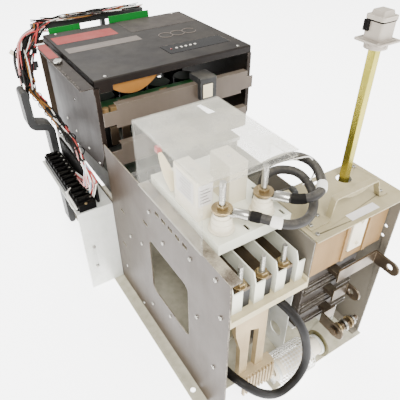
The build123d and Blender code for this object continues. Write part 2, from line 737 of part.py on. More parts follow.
outer_points = [(192, 32, 66), (216, 62, 72), (229, 98, 76), (222, 136, 70), (204, 168, 44)]
outer_points += [(196, 202, 4), (194, 256, -36), (192, 316, -56), (190, 376, -64), (190, 430, -72)]
outer_route = route_from(standoffs[1], outer_points)
cable(outer_route, cable_radius, "power_cable_outer")

inner_points = [(110, 18, 48), (146, 14, 42), (184, 36, 38), (212, 70, 42), (214, 106, 54), (184, 123, 62)]
inner_points += [(150, 121, 64), (144, 122, 34)]
inner_end = [Vector(tray_gland[0], tray_gland[1], tray_z - 14)]
inner_route = route_from(standoffs[0], inner_points) + inner_end
cable(inner_route, cable_radius, "power_cable_inner")

# The lower cable hangs in a loop out of the near end of the bay
lower_start = Vector(left + 102, near + 74, shelf_height - 26)
lower_end = Vector(left + 24, near + 80, 118)
lower_points = [(120, 12, 279), (140, -26, 236), (157, -31, 174), (164, -33, 116), (146, -34, 74)]
lower_points += [(104, -34, 62), (60, -31, 100), (29, -8, 134), (24, 36, 120)]
lower_route = [lower_start] + [Vector(left + x, near + y, z) for x, y, z in lower_points] + [lower_end]
cable(lower_route, lower_cable_radius, "lower_cable")

# Glands that take the cables' ends
with BuildPart() as cable_glands:
    ring((tray_gland[0], tray_gland[1], tray_z - 14), cable_radius + 4, cable_radius + gap, 26)
    clamp_z = (lower_end.Z - 20, lower_end.Z + 20)
    block((bay_left + 1, left + 42), (lower_end.Y + gap, lower_end.Y + 30), clamp_z)
    block((lower_start.X - 20, lower_start.X + 20), (lower_start.Y + 3, lower_start.Y + 30),
          (lower_start.Z - 14, shelf_height - gap))
save(cable_glands.part, "cable_glands")

# Clear cover over the studs, open at the near end above a short lip
cover_x = (left - 3, divider + 6)
cover_y = (near + cover_setback, near + cover_setback + cover_depth)
cover_low = chassis_height + gap
cover_top = chassis_height + cover_height
with BuildPart() as clear_cover:
    block(cover_x, cover_y, (cover_low, cover_top))
    fillet(clear_cover.edges().filter_by(Axis.Y).group_by(Axis.Z)[-1], 5)
    fillet(clear_cover.edges().filter_by(Axis.X).group_by(Axis.Z)[-1], 3)
    inside_x = (cover_x[0] + cover_wall, cover_x[1] - cover_wall)
    inside_z = (cover_low - 1, cover_top - cover_wall)
    block(inside_x, (cover_y[0] - 1, cover_y[1] - cover_wall), inside_z, mode=Mode.SUBTRACT)
    block(inside_x, (cover_y[0], cover_y[0] + cover_wall), (cover_top - 12, cover_top - 1))
    # The right wall is cut back at its near end where the power cables leave
    notch_y = (cover_y[0] - 1, cover_y[0] + cover_notch)
    block((cover_x[1] - 4, cover_x[1] + 1), notch_y, (cover_low - 1, cover_top - 22), mode=Mode.SUBTRACT)
save(clear_cover.part, "clear_cover")

# Measuring and relay modules on the tray, under the cover
with BuildPart() as relay_modules:
    block((left + 22, left + 52), (near + 124, near + 196), (tray_z + gap, tray_z + 76))
    block((left + 88, left + 124), (near + 132, near + 190), (tray_z + gap, tray_z + 76))
    fillet(relay_modules.edges().filter_by(Axis.Z), 2)
    chamfer(relay_modules.faces().group_by(Axis.Z)[-1].edges(), 1)
save(relay_modules.part, "relay_modules")

# Braking resistor behind the lower cable: tube along X, perforated guard and band clamps
tube_y = near + 15
tube_z = 46
tube_x = (band_foot - 5, left + 262)
with BuildPart() as resistor_tube:
    ring((tube_x[0], tube_y, tube_z), 18, 10, tube_x[1] - tube_x[0], "X")
save(resistor_tube.part, "resistor_tube")

guard_x = (tube_x[0] + 12, tube_x[1] - 46)
guard_radius = 35
with BuildPart() as perforated_guard:
    ring((guard_x[0], tube_y, tube_z), guard_radius, guard_radius - 2, guard_x[1] - guard_x[0], "X")
    for row in range(5):
        for step in range(9):
            angle = 40 * step + (20 if row % 2 else 0)
            x = guard_x[0] + 9 + row * 13.5
            out = Location((x, tube_y, tube_z), (angle, 0, 0))
            with Locations(out * Location((0, 0, guard_radius - 1))):
                Cylinder(4, 8, mode=Mode.SUBTRACT)
save(perforated_guard.part, "perforated_guard")

with BuildPart() as tube_bands:
    for x in (tube_x[0] + 2, tube_x[1] - 14):
        ring((x, tube_y, tube_z), 22, 18 + gap, 6, "X")
        block((x, x + 6), (tube_y - 6, tube_y + 6), (floor, tube_z - 20))
save(tube_bands.part, "tube_bands")

# Cast yoke hung under the shelf, with two legs and a comb across their feet
yoke_y = (near + 24, near + 36)
yoke_top = shelf_height - 9 - gap
comb_z = (40, 95)
comb_x = (left + 50, left + 128)
with BuildPart() as cast_yoke:
    with BuildSketch(Plane.XZ.offset(-yoke_y[1])):
        with BuildLine():
            Polyline(
                (left + 34, yoke_top - 30), (left + 44, yoke_top), (left + 98, yoke_top),
                (left + 103, yoke_top - 34), (left + 106, comb_z[1] - 1), (left + 87, comb_z[1] - 1),
                (left + 87, yoke_top - 84), (left + 67, yoke_top - 74), (left + 67, comb_z[1] - 1),
                (left + 50, comb_z[1] - 1), (left + 48, yoke_top - 120), (left + 36, yoke_top - 72),
                close=True,
            )
        make_face()
    extrude(amount=yoke_y[1] - yoke_y[0])
    block(comb_x, (near + 14, yoke_y[1]), (comb_z[1] - 13, comb_z[1]))
    for step in range(10):
        x = comb_x[0] + 2 + 7.6 * step
        block((x, x + 3.6), (near + 8, near + 15), comb_z)
save(cast_yoke.part, "cast_yoke")

# Ring cores of the current sensor round the space behind the yoke
with BuildPart() as ring_cores:
    for step in range(2):
        ring((left + 48 + 16 * step, near + 104, 172), 44, 28, 11, "X")
        block((left + 48 + 16 * step, left + 59 + 16 * step), (near + 96, near + 112), (floor, 130))
save(ring_cores.part, "ring_cores")

# Drive: side walls, heat sink floor, cover, display and latch
with BuildPart() as drive_side_walls:
    wall_top = drive_top - lid_thickness - gap
    for x in (left, drive_right - drive_wall):
        with BuildSketch(Plane.YZ.offset(x)):
            with BuildLine():
                Polyline(
                    (drive_near, 371), (drive_near + 27, 324), (drive_far, drive_floor_z - 4),
                    (drive_far, wall_top), (drive_near, wall_top), close=True,
                )
            make_face()
        extrude(amount=drive_wall)
    block((left, left + 10), (drive_near, drive_near + drive_wall), (371, wall_top))
    block((drive_right - 10, drive_right), (drive_near, drive_near + drive_wall), (371, wall_top))
    rod((left - 1, drive_near + 150, drive_floor_z + 150), 4, drive_wall + 2, "X", mode=Mode.SUBTRACT)
save(drive_side_walls.part, "drive_side_walls")

fin_count = 18
with BuildPart() as heat_sink:
    plate_z = (drive_floor_z, drive_floor_z + 10)
    sink_x = (left + 14, drive_right - 14)
    block(sink_x, (drive_near + 6, drive_far - 6), plate_z)
    for step in range(fin_count):
        x = sink_x[0] + 4 + step * (sink_x[1] - sink_x[0] - 11) / (fin_count - 1)
        block((x, x + 3), (drive_near + 10, drive_far - 70), (drive_floor_z - 60, drive_floor_z + 1))
save(heat_sink.part, "heat_sink")

lid_low = drive_top - lid_thickness
with BuildPart() as drive_cover:
    block((left + 2, drive_right), (drive_near + 2, drive_far), (lid_low, drive_top))
    fillet(drive_cover.edges().filter_by(Axis.X).group_by(Axis.Z)[-1], 4)
    fillet(drive_cover.edges().filter_by(Axis.Y).group_by(Axis.Z)[-1], 2)
    inside_y = (drive_near + 5, drive_far - 3)
    block((left + 5, drive_right - 3), inside_y, (lid_low - 1, drive_top - 3), mode=Mode.SUBTRACT)
    display_x = (left + 198, left + 356)
    display_y = (drive_near + 50, drive_near + 102)
    block(display_x, display_y, (drive_top - 1.2, drive_top + 1), mode=Mode.SUBTRACT)
    # Tongue over the near corner
    block((left + 12, left + 40), (drive_near + 2, drive_near + 5), (lid_low - 12, lid_low + 1))
save(drive_cover.part, "drive_cover")

# Flat rail outside the drive's left wall with a quarter-turn latch knob
rail_x = (left - 32, left - 4)
rail_y = (drive_near - 14, drive_near + 262)
rail_z = drive_top - 6
latch_at = (left - 20, drive_near + 146)
with BuildPart() as latch_rail:
    block(rail_x, rail_y, (rail_z - 2, rail_z))
    block((rail_x[1] - 2, rail_x[1]), rail_y, (rail_z - 16, rail_z))
    block((rail_x[1] - 2, left - gap), (rail_y[0] + 30, rail_y[0] + 50), (rail_z - 16, rail_z - 13))
    block((rail_x[1] - 2, left - gap), (rail_y[1] - 50, rail_y[1] - 30), (rail_z - 16, rail_z - 13))
    rod((latch_at[0], latch_at[1], rail_z - 5), 4, 10, mode=Mode.SUBTRACT)
    groove_x = (rail_x[0] + 3, rail_x[0] + 5)
    block(groove_x, (rail_y[0] + 4, rail_y[1] - 4), (rail_z - 0.8, rail_z + 1), mode=Mode.SUBTRACT)
save(latch_rail.part, "latch_rail")

with BuildPart() as latch_knob:
    rod((latch_at[0], latch_at[1], rail_z - 8), 3.95, 8 + gap)
    rod((latch_at[0], latch_at[1], rail_z + gap), 9, 7)
    fillet(latch_knob.edges().filter_by(GeomType.CIRCLE).group_by(Axis.Z)[-1], 2)
    for half_x, half_y, z in ((1.5, 13, (rail_z + 3, rail_z + 6)), (2.5, 9, (rail_z - 8, rail_z - 5.5))):
        bar_x = (latch_at[0] - half_x, latch_at[0] + half_x)
        block(bar_x, (latch_at[1] - half_y, latch_at[1] + half_y), z)
save(latch_knob.part, "latch_knob")

# Folded crossbars over the drive's near opening, each with cut-back ends
bar_y = drive_near - 20
with BuildPart() as crossbars:
    with BuildSketch(Plane.XZ.offset(-bar_y)):
        with BuildLine():
            Polyline(
                (left + 4, 444), (left + 30, 444), (left + 30, 436), (drive_right - 40, 436),
                (drive_right - 40, 444), (drive_right - 8, 444), (drive_right - 8, 472),
                (drive_right - 24, 472), (drive_right - 24, 486), (left + 34, 486),
                (left + 34, 474), (left + 4, 474), close=True,
            )
        make_face()
    extrude(amount=-sheet)
    block((left + 34, drive_right - 24), (bar_y, bar_y + 16), (484, 486))
    with BuildSketch(Plane.XZ.offset(-bar_y)):
        with BuildLine():
            Polyline(
                (left + 10, 346), (drive_right - 20, 346), (drive_right - 20, 398), (left + 34, 398),
                (left + 34, 384), (left + 10, 384), close=True,
            )
        make_face()
    extrude(amount=-sheet)
    block((left + 34, drive_right - 20), (bar_y, bar_y + 16), (396, 398))
save(crossbars.part, "crossbars")

# Plug connector hooked over the upper crossbar
plug_x = (left + 222, left + 262)
with BuildPart() as plug_connector:
    block(plug_x, (bar_y - 13, bar_y - gap), (452, 500))
    block(plug_x, (bar_y - 13, bar_y + 34), (486 + gap, 500))
    fillet(plug_connector.edges().filter_by(Axis.X).group_by(Axis.Z)[-1], 4)
save(plug_connector.part, "plug_connector")

# Circuit boards and the capacitors of the drive's power stage
board_z = drive_top - lid_thickness - 12
with BuildPart() as circuit_boards:
    block((left + 20, drive_right - 16), (drive_near + 120, drive_far + 10), (board_z, board_z + 1.6))
    block((left + 20, left + 100), (drive_far + 6, drive_far + 8), (board_z + 2, drive_top + 10))
    block((left + 176, left + 290), (drive_far + 6, drive_far + 8), (board_z + 2, drive_top + 14))
    block((left + 30, drive_right - 30), (drive_near + 30, drive_near + 110), (board_z - 70, board_z - 68.4))
save(circuit_boards.part, "circuit_boards")

with BuildPart() as drive_capacitors:
    for i in range(4):
        for j in range(2):
            rod((left + 70 + 76 * i, drive_near + 165 + 70 * j, drive_floor_z + 10 + gap), 30, 125)
    fillet(drive_capacitors.edges().filter_by(GeomType.CIRCLE).group_by(Axis.Z)[-1], 3)
save(drive_capacitors.part, "drive_capacitors")

# Cooling fan under the heat sink's far end
fan_at = (left + drive_width / 2, drive_far - 34)
fan_z = (drive_floor_z - 60, drive_floor_z - 22)
fan_axis_y = drive_far - 52
fan_centre_z = 150
with BuildPart() as fan_frame:
    frame_half = fan_radius + 8
    frame_z = (fan_centre_z - frame_half, fan_centre_z + frame_half)
    block((fan_at[0] - frame_half, fan_at[0] + frame_half), (fan_axis_y, fan_axis_y + 38), frame_z)
    fillet(fan_frame.edges().filter_by(Axis.Y), 8)
    rod((fan_at[0], fan_axis_y - 1, fan_centre_z), fan_radius, 40, "Y", mode=Mode.SUBTRACT)
    for angle in (0, 90, 180, 270):
        centre = Location((fan_at[0], fan_axis_y + 34, fan_centre_z), (0, angle, 0))
        with Locations(centre * Location((fan_radius / 2 + 6, 0, 0))):
            Box(fan_radius - 6, 4, 6)
    rod((fan_at[0], fan_axis_y + 32, fan_centre_z), 20, 4, "Y")
    rod((fan_at[0], fan_axis_y + 6, fan_centre_z), 3, 28, "Y")
    for x in (fan_at[0] - frame_half + 6, fan_at[0] + frame_half - 16):
        block((x, x + 10), (fan_axis_y + 8, fan_axis_y + 30), (floor, fan_centre_z - frame_half))
save(fan_frame.part, "fan_frame")

blade_count = 7
with BuildPart() as fan_rotor:
    rod((fan_at[0], fan_axis_y + 5, fan_centre_z), 19, 25, "Y")
    for step in range(blade_count):
        blade = Location((fan_at[0], fan_axis_y + 17, fan_centre_z), (0, 360 / blade_count * step, 0))
        with Locations(blade * Location((33.5, 0, 0), (40, 0, 0))):
            Box(33, 2, 24)
    rod((fan_at[0], fan_axis_y + 4, fan_centre_z), 3.05, 40, "Y", mode=Mode.SUBTRACT)
save(fan_rotor.part, "fan_rotor")

# Control terminal strip with its ribs, on the galvanised bracket
strip_x = (left - 78, left - 34)
strip_y = (bracket_near + 12, bracket_near + 252)
strip_pitch = 20
strip_z = bracket_top + gap
with BuildPart() as terminal_strip:
    block(strip_x, strip_y, (strip_z, strip_z + 18))
    count = int((strip_y[1] - strip_y[0]) / strip_pitch)
    for step in range(count):
        y = strip_y[0] + strip_pitch * step
        block((strip_x[0] + 3, strip_x[1] - 14), (y + 2, y + strip_pitch - 7), (strip_z + 17, strip_z + 27))
        block((strip_x[1] - 15, strip_x[1] - 3), (y + 5, y + strip_pitch - 10), (strip_z + 17, strip_z + 22))
save(terminal_strip.part, "terminal_strip")

# Wiring ducts: one along the far end on three posts, one bent outside the bracket
duct_z = 533
duct_y = (far - 30, far - 8)
duct_half = 9
duct_near = bracket_near + bracket_length + 16
with BuildPart() as wire_ducts:
    block((left - 8, left + 290), duct_y, (duct_z, duct_z + 14))
    fillet(wire_ducts.edges().filter_by(Axis.X), 4)
    for x in (left + 88, left + 176, left + 262):
        block((x - 5, x + 5), (duct_y[0] + 4, duct_y[1] - 4), (rear_panel_z + gap, duct_z + 1))
    # The bent duct stands on the floor beside the bracket and turns out and up round a wide corner
    with BuildSketch(Plane.XZ.offset(-duct_near)):
        with BuildLine():
            FilletPolyline(
                (left - 82, 420), (left - 82, 334), (left - 38, 322), (left - 38, floor + duct_half),
                radius=16,
            )
            offset(amount=duct_half)
        make_face()
    extrude(amount=-44)
save(wire_ducts.part, "wire_ducts")

# Round-head screws on the side plate, the top plate, the handle and the bracket
with BuildPart() as screws:
    for along, height in side_screws:
        dome_screw((left, near + along, height), (-1, 0, 0), sheet)
    for x, y in top_screws:
        dome_screw((x, y, chassis_height), (0, 0, 1), sheet)
    for x, y in handle_screws:
        dome_screw((x, y, chassis_height + gap + 2.5), (0, 0, 1), sheet + gap + 2.5)
    for height in (136, 73):
        dome_screw((left - 62, bracket_near, height), (0, -1, 0), sheet)
    # Long screws that clamp the pole stack to its bracket
    for x, y in deck_bolts:
        rod((x, y, pole_base - 12), 2.5, mech_floor_z - pole_base + 11.6)
        rod((x, y, pole_base - 13), 4, 5)
save(screws.part, "screws")
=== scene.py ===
import bpy
import bmesh
import math
import random
from mathutils import Matrix, Vector


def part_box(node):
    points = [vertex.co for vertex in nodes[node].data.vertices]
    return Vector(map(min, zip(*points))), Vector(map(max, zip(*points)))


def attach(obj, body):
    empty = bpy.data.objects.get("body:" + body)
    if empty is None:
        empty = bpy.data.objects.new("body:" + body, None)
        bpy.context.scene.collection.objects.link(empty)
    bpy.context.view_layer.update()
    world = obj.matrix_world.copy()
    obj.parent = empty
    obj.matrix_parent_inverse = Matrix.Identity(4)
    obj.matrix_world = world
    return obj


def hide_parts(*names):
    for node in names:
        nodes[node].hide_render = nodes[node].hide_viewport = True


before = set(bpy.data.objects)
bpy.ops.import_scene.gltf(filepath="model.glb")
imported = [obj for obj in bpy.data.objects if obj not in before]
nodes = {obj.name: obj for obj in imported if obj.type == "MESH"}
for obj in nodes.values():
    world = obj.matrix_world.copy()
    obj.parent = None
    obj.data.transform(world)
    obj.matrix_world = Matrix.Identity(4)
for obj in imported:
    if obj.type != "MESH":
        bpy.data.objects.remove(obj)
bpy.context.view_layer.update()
random.seed(41)
mm = 0.001
print("frame loaded,", len(nodes), "nodes")


def at(x, y, z):
    # millimetres from the left plate, the near end and the underside
    return Vector(((x - 193) * mm, (y - 430) * mm, z * mm))


def tone(code):
    # sRGB hex to linear
    parts = [int(code[i:i + 2], 16) / 255 for i in (0, 2, 4)]
    return tuple(c / 12.92 if c <= 0.04045 else ((c + 0.055) / 1.055) ** 2.4 for c in parts) + (1,)


# shared shader groups

def newGroup(name, inputs, outputs):
    tree = bpy.data.node_groups.new(name, "ShaderNodeTree")
    for label, value, low, high in inputs:
        socket = tree.interface.new_socket(label, in_out="INPUT", socket_type="NodeSocketFloat")
        socket.default_value = value
        socket.min_value = low
        socket.max_value = high
    for label, kind in outputs:
        tree.interface.new_socket(label, in_out="OUTPUT", socket_type=kind)
    return tree, tree.nodes.new("NodeGroupInput"), tree.nodes.new("NodeGroupOutput")


def calc(tree, kind, a, b=None, clamp=False):
    node = tree.nodes.new("ShaderNodeMath")
    node.operation = kind
    node.use_clamp = clamp
    for i, value in enumerate((a, b)):
        if value is None:
            continue
        if isinstance(value, (int, float)):
            node.inputs[i].default_value = value
        else:
            tree.links.new(value, node.inputs[i])
    return node.outputs[0]


def ramp(tree, value, low, high):
    node = tree.nodes.new("ShaderNodeMapRange")
    node.interpolation_type = "SMOOTHSTEP"
    node.inputs["From Min"].default_value = low
    node.inputs["From Max"].default_value = high
    tree.links.new(value, node.inputs["Value"])
    return node.outputs["Result"]


def noise(tree, scale, detail=4, rough=0.55, stretch=(1, 1, 1)):
    place = tree.nodes.new("ShaderNodeTexCoord")
    squeeze = tree.nodes.new("ShaderNodeMapping")
    squeeze.inputs["Scale"].default_value = stretch
    tree.links.new(place.outputs["Object"], squeeze.inputs["Vector"])
    node = tree.nodes.new("ShaderNodeTexNoise")
    node.inputs["Detail"].default_value = detail
    node.inputs["Roughness"].default_value = rough
    tree.links.new(squeeze.outputs["Vector"], node.inputs["Vector"])
    if isinstance(scale, (int, float)):
        node.inputs["Scale"].default_value = scale
    else:
        tree.links.new(scale, node.inputs["Scale"])
    return node.outputs["Fac"]


def edgeWearGroup():
    tree, source, result = newGroup("edgeWear", [("Amount", 0.5, 0, 1), ("Width", 0.0015, 0, 0.02)],
                                    [("Mask", "NodeSocketFloat")])
    bevel = tree.nodes.new("ShaderNodeBevel")
    bevel.samples = 4
    tree.links.new(source.outputs["Width"], bevel.inputs["Radius"])
    flat = tree.nodes.new("ShaderNodeNewGeometry")
    compare = tree.nodes.new("ShaderNodeVectorMath")
    compare.operation = "DOT_PRODUCT"
    tree.links.new(bevel.outputs["Normal"], compare.inputs[0])
    tree.links.new(flat.outputs["Normal"], compare.inputs[1])
    bend = calc(tree, "SUBTRACT", 1, compare.outputs["Value"])
    edge = ramp(tree, bend, 0.01, 0.16)
    broken = ramp(tree, noise(tree, 160, 5), 0.40, 0.62)
    worn = calc(tree, "MULTIPLY", edge, broken)
    tree.links.new(calc(tree, "MULTIPLY", worn, source.outputs["Amount"], True), result.inputs["Mask"])
    return tree


def dustAndTopHighlightGroup():
    # mask of upward faces: settled dust, and a painted highlight of the top light where a finish sets it
    # high
    tree, source, result = newGroup("settledDustAndTopHighlight", [("Amount", 0.4, 0, 1), ("Scale", 26, 1, 400)],
                                    [("Mask", "NodeSocketFloat")])
    flat = tree.nodes.new("ShaderNodeNewGeometry")
    split = tree.nodes.new("ShaderNodeSeparateXYZ")
    tree.links.new(flat.outputs["Normal"], split.inputs["Vector"])
    upward = ramp(tree, split.outputs["Z"], 0.2, 0.95)
    drift = ramp(tree, noise(tree, source.outputs["Scale"], 8, 0.65), 0.30, 0.72)
    fine = ramp(tree, noise(tree, 420, 3), 0.35, 0.75)
    mixed = calc(tree, "ADD", calc(tree, "MULTIPLY", drift, 0.75), calc(tree, "MULTIPLY", fine, 0.25))
    tree.links.new(calc(tree, "MULTIPLY", calc(tree, "MULTIPLY", upward, mixed), source.outputs["Amount"],
                        True), result.inputs["Mask"])
    return tree


def smudgeGroup():
    tree, source, result = newGroup("smudges", [("Scale", 14, 1, 400), ("Contrast", 0.5, 0, 1)],
                                    [("Value", "NodeSocketFloat")])
    broad = noise(tree, source.outputs["Scale"], 7, 0.62)
    streak = noise(tree, 30, 5, 0.6, (1, 1, 0.12))
    both = calc(tree, "ADD", calc(tree, "MULTIPLY", broad, 0.6), calc(tree, "MULTIPLY", streak, 0.4))
    centred = calc(tree, "SUBTRACT", both, 0.5)
    spread = calc(tree, "MULTIPLY", centred, calc(tree, "MULTIPLY", source.outputs["Contrast"], 3))
    tree.links.new(calc(tree, "ADD", spread, 0.5, True), result.inputs["Value"])
    return tree


def grainGroup():
    tree, source, result = newGroup("surfaceGrain", [("Scale", 600, 1, 4000), ("Strength", 0.1, 0, 1)],
                                    [("Normal", "NodeSocketVector")])
    bump = tree.nodes.new("ShaderNodeBump")
    bump.inputs["Distance"].default_value = 0.0006
    tree.links.new(source.outputs["Strength"], bump.inputs["Strength"])
    tree.links.new(noise(tree, source.outputs["Scale"], 3), bump.inputs["Height"])
    tree.links.new(bump.outputs["Normal"], result.inputs["Normal"])
    return tree


groups = {"wear": edgeWearGroup(), "dustAndTopHighlight": dustAndTopHighlightGroup(), "smudge": smudgeGroup(), "grain": grainGroup()}


def useGroup(tree, name, **values):
    node = tree.nodes.new("ShaderNodeGroup")
    node.node_tree = groups[name]
    for label, value in values.items():
        node.inputs[label].default_value = value
    return node.outputs[0]


def blendColour(tree, mask, a, b):
    node = tree.nodes.new("ShaderNodeMix")
    node.data_type = "RGBA"
    tree.links.new(mask, node.inputs["Factor"])
    for index, value in ((6, a), (7, b)):
        if isinstance(value, tuple):
            node.inputs[index].default_value = value
        else:
            tree.links.new(value, node.inputs[index])
    return node.outputs[2]


# pale tone for upward faces: dust, and on greyPaint a painted top highlight
dustAndTopHighlightTone = tone("a89f8b")


def finish(name, base, dark=None, rough=0.5, metal=0.0, wear=0.4, wearTone="a9a7a0", dustAndTopHighlight=0.35,
           dustAndTopHighlightScale=26,
           smudge=14, contrast=0.5, grain=600, depth=0.08, coat=0.0, gloss=0.5):
    # one material: base colour with smudges, worn edges and pale upward faces, which are settled dust and,
    # where the amount is high as on greyPaint, a painted highlight of the light from above
    material = bpy.data.materials.new(name)
    material.use_nodes = True
    tree = material.node_tree
    shader = tree.nodes["Principled BSDF"]
    dirt = useGroup(tree, "smudge", Scale=smudge, Contrast=contrast)
    colour = blendColour(tree, dirt, tone(dark or base), tone(base))
    worn = useGroup(tree, "wear", Amount=wear, Width=0.0016)
    colour = blendColour(tree, worn, colour, tone(wearTone))
    # upward faces turn pale: dust, and a painted top highlight where the amount is high
    dustAndTopHighlightMask = useGroup(tree, "dustAndTopHighlight", Amount=dustAndTopHighlight, Scale=dustAndTopHighlightScale)
    colour = blendColour(tree, dustAndTopHighlightMask, colour, dustAndTopHighlightTone)
    tree.links.new(colour, shader.inputs["Base Color"])
    shift = calc(tree, "MULTIPLY", calc(tree, "SUBTRACT", dirt, 0.5), -0.28)
    roughness = calc(tree, "ADD", calc(tree, "ADD", shift, rough), calc(tree, "MULTIPLY", dustAndTopHighlightMask, 0.3),
                     True)
    tree.links.new(roughness, shader.inputs["Roughness"])
    if metal > 0:
        bare = calc(tree, "MULTIPLY", calc(tree, "SUBTRACT", 1, dustAndTopHighlightMask), metal)
        tree.links.new(bare, shader.inputs["Metallic"])
    else:
        tree.links.new(calc(tree, "MULTIPLY", worn, 0.7), shader.inputs["Metallic"])
    shader.inputs["Coat Weight"].default_value = coat
    shader.inputs["Specular IOR Level"].default_value = gloss
    tree.links.new(useGroup(tree, "grain", Scale=grain, Strength=depth), shader.inputs["Normal"])
    return material


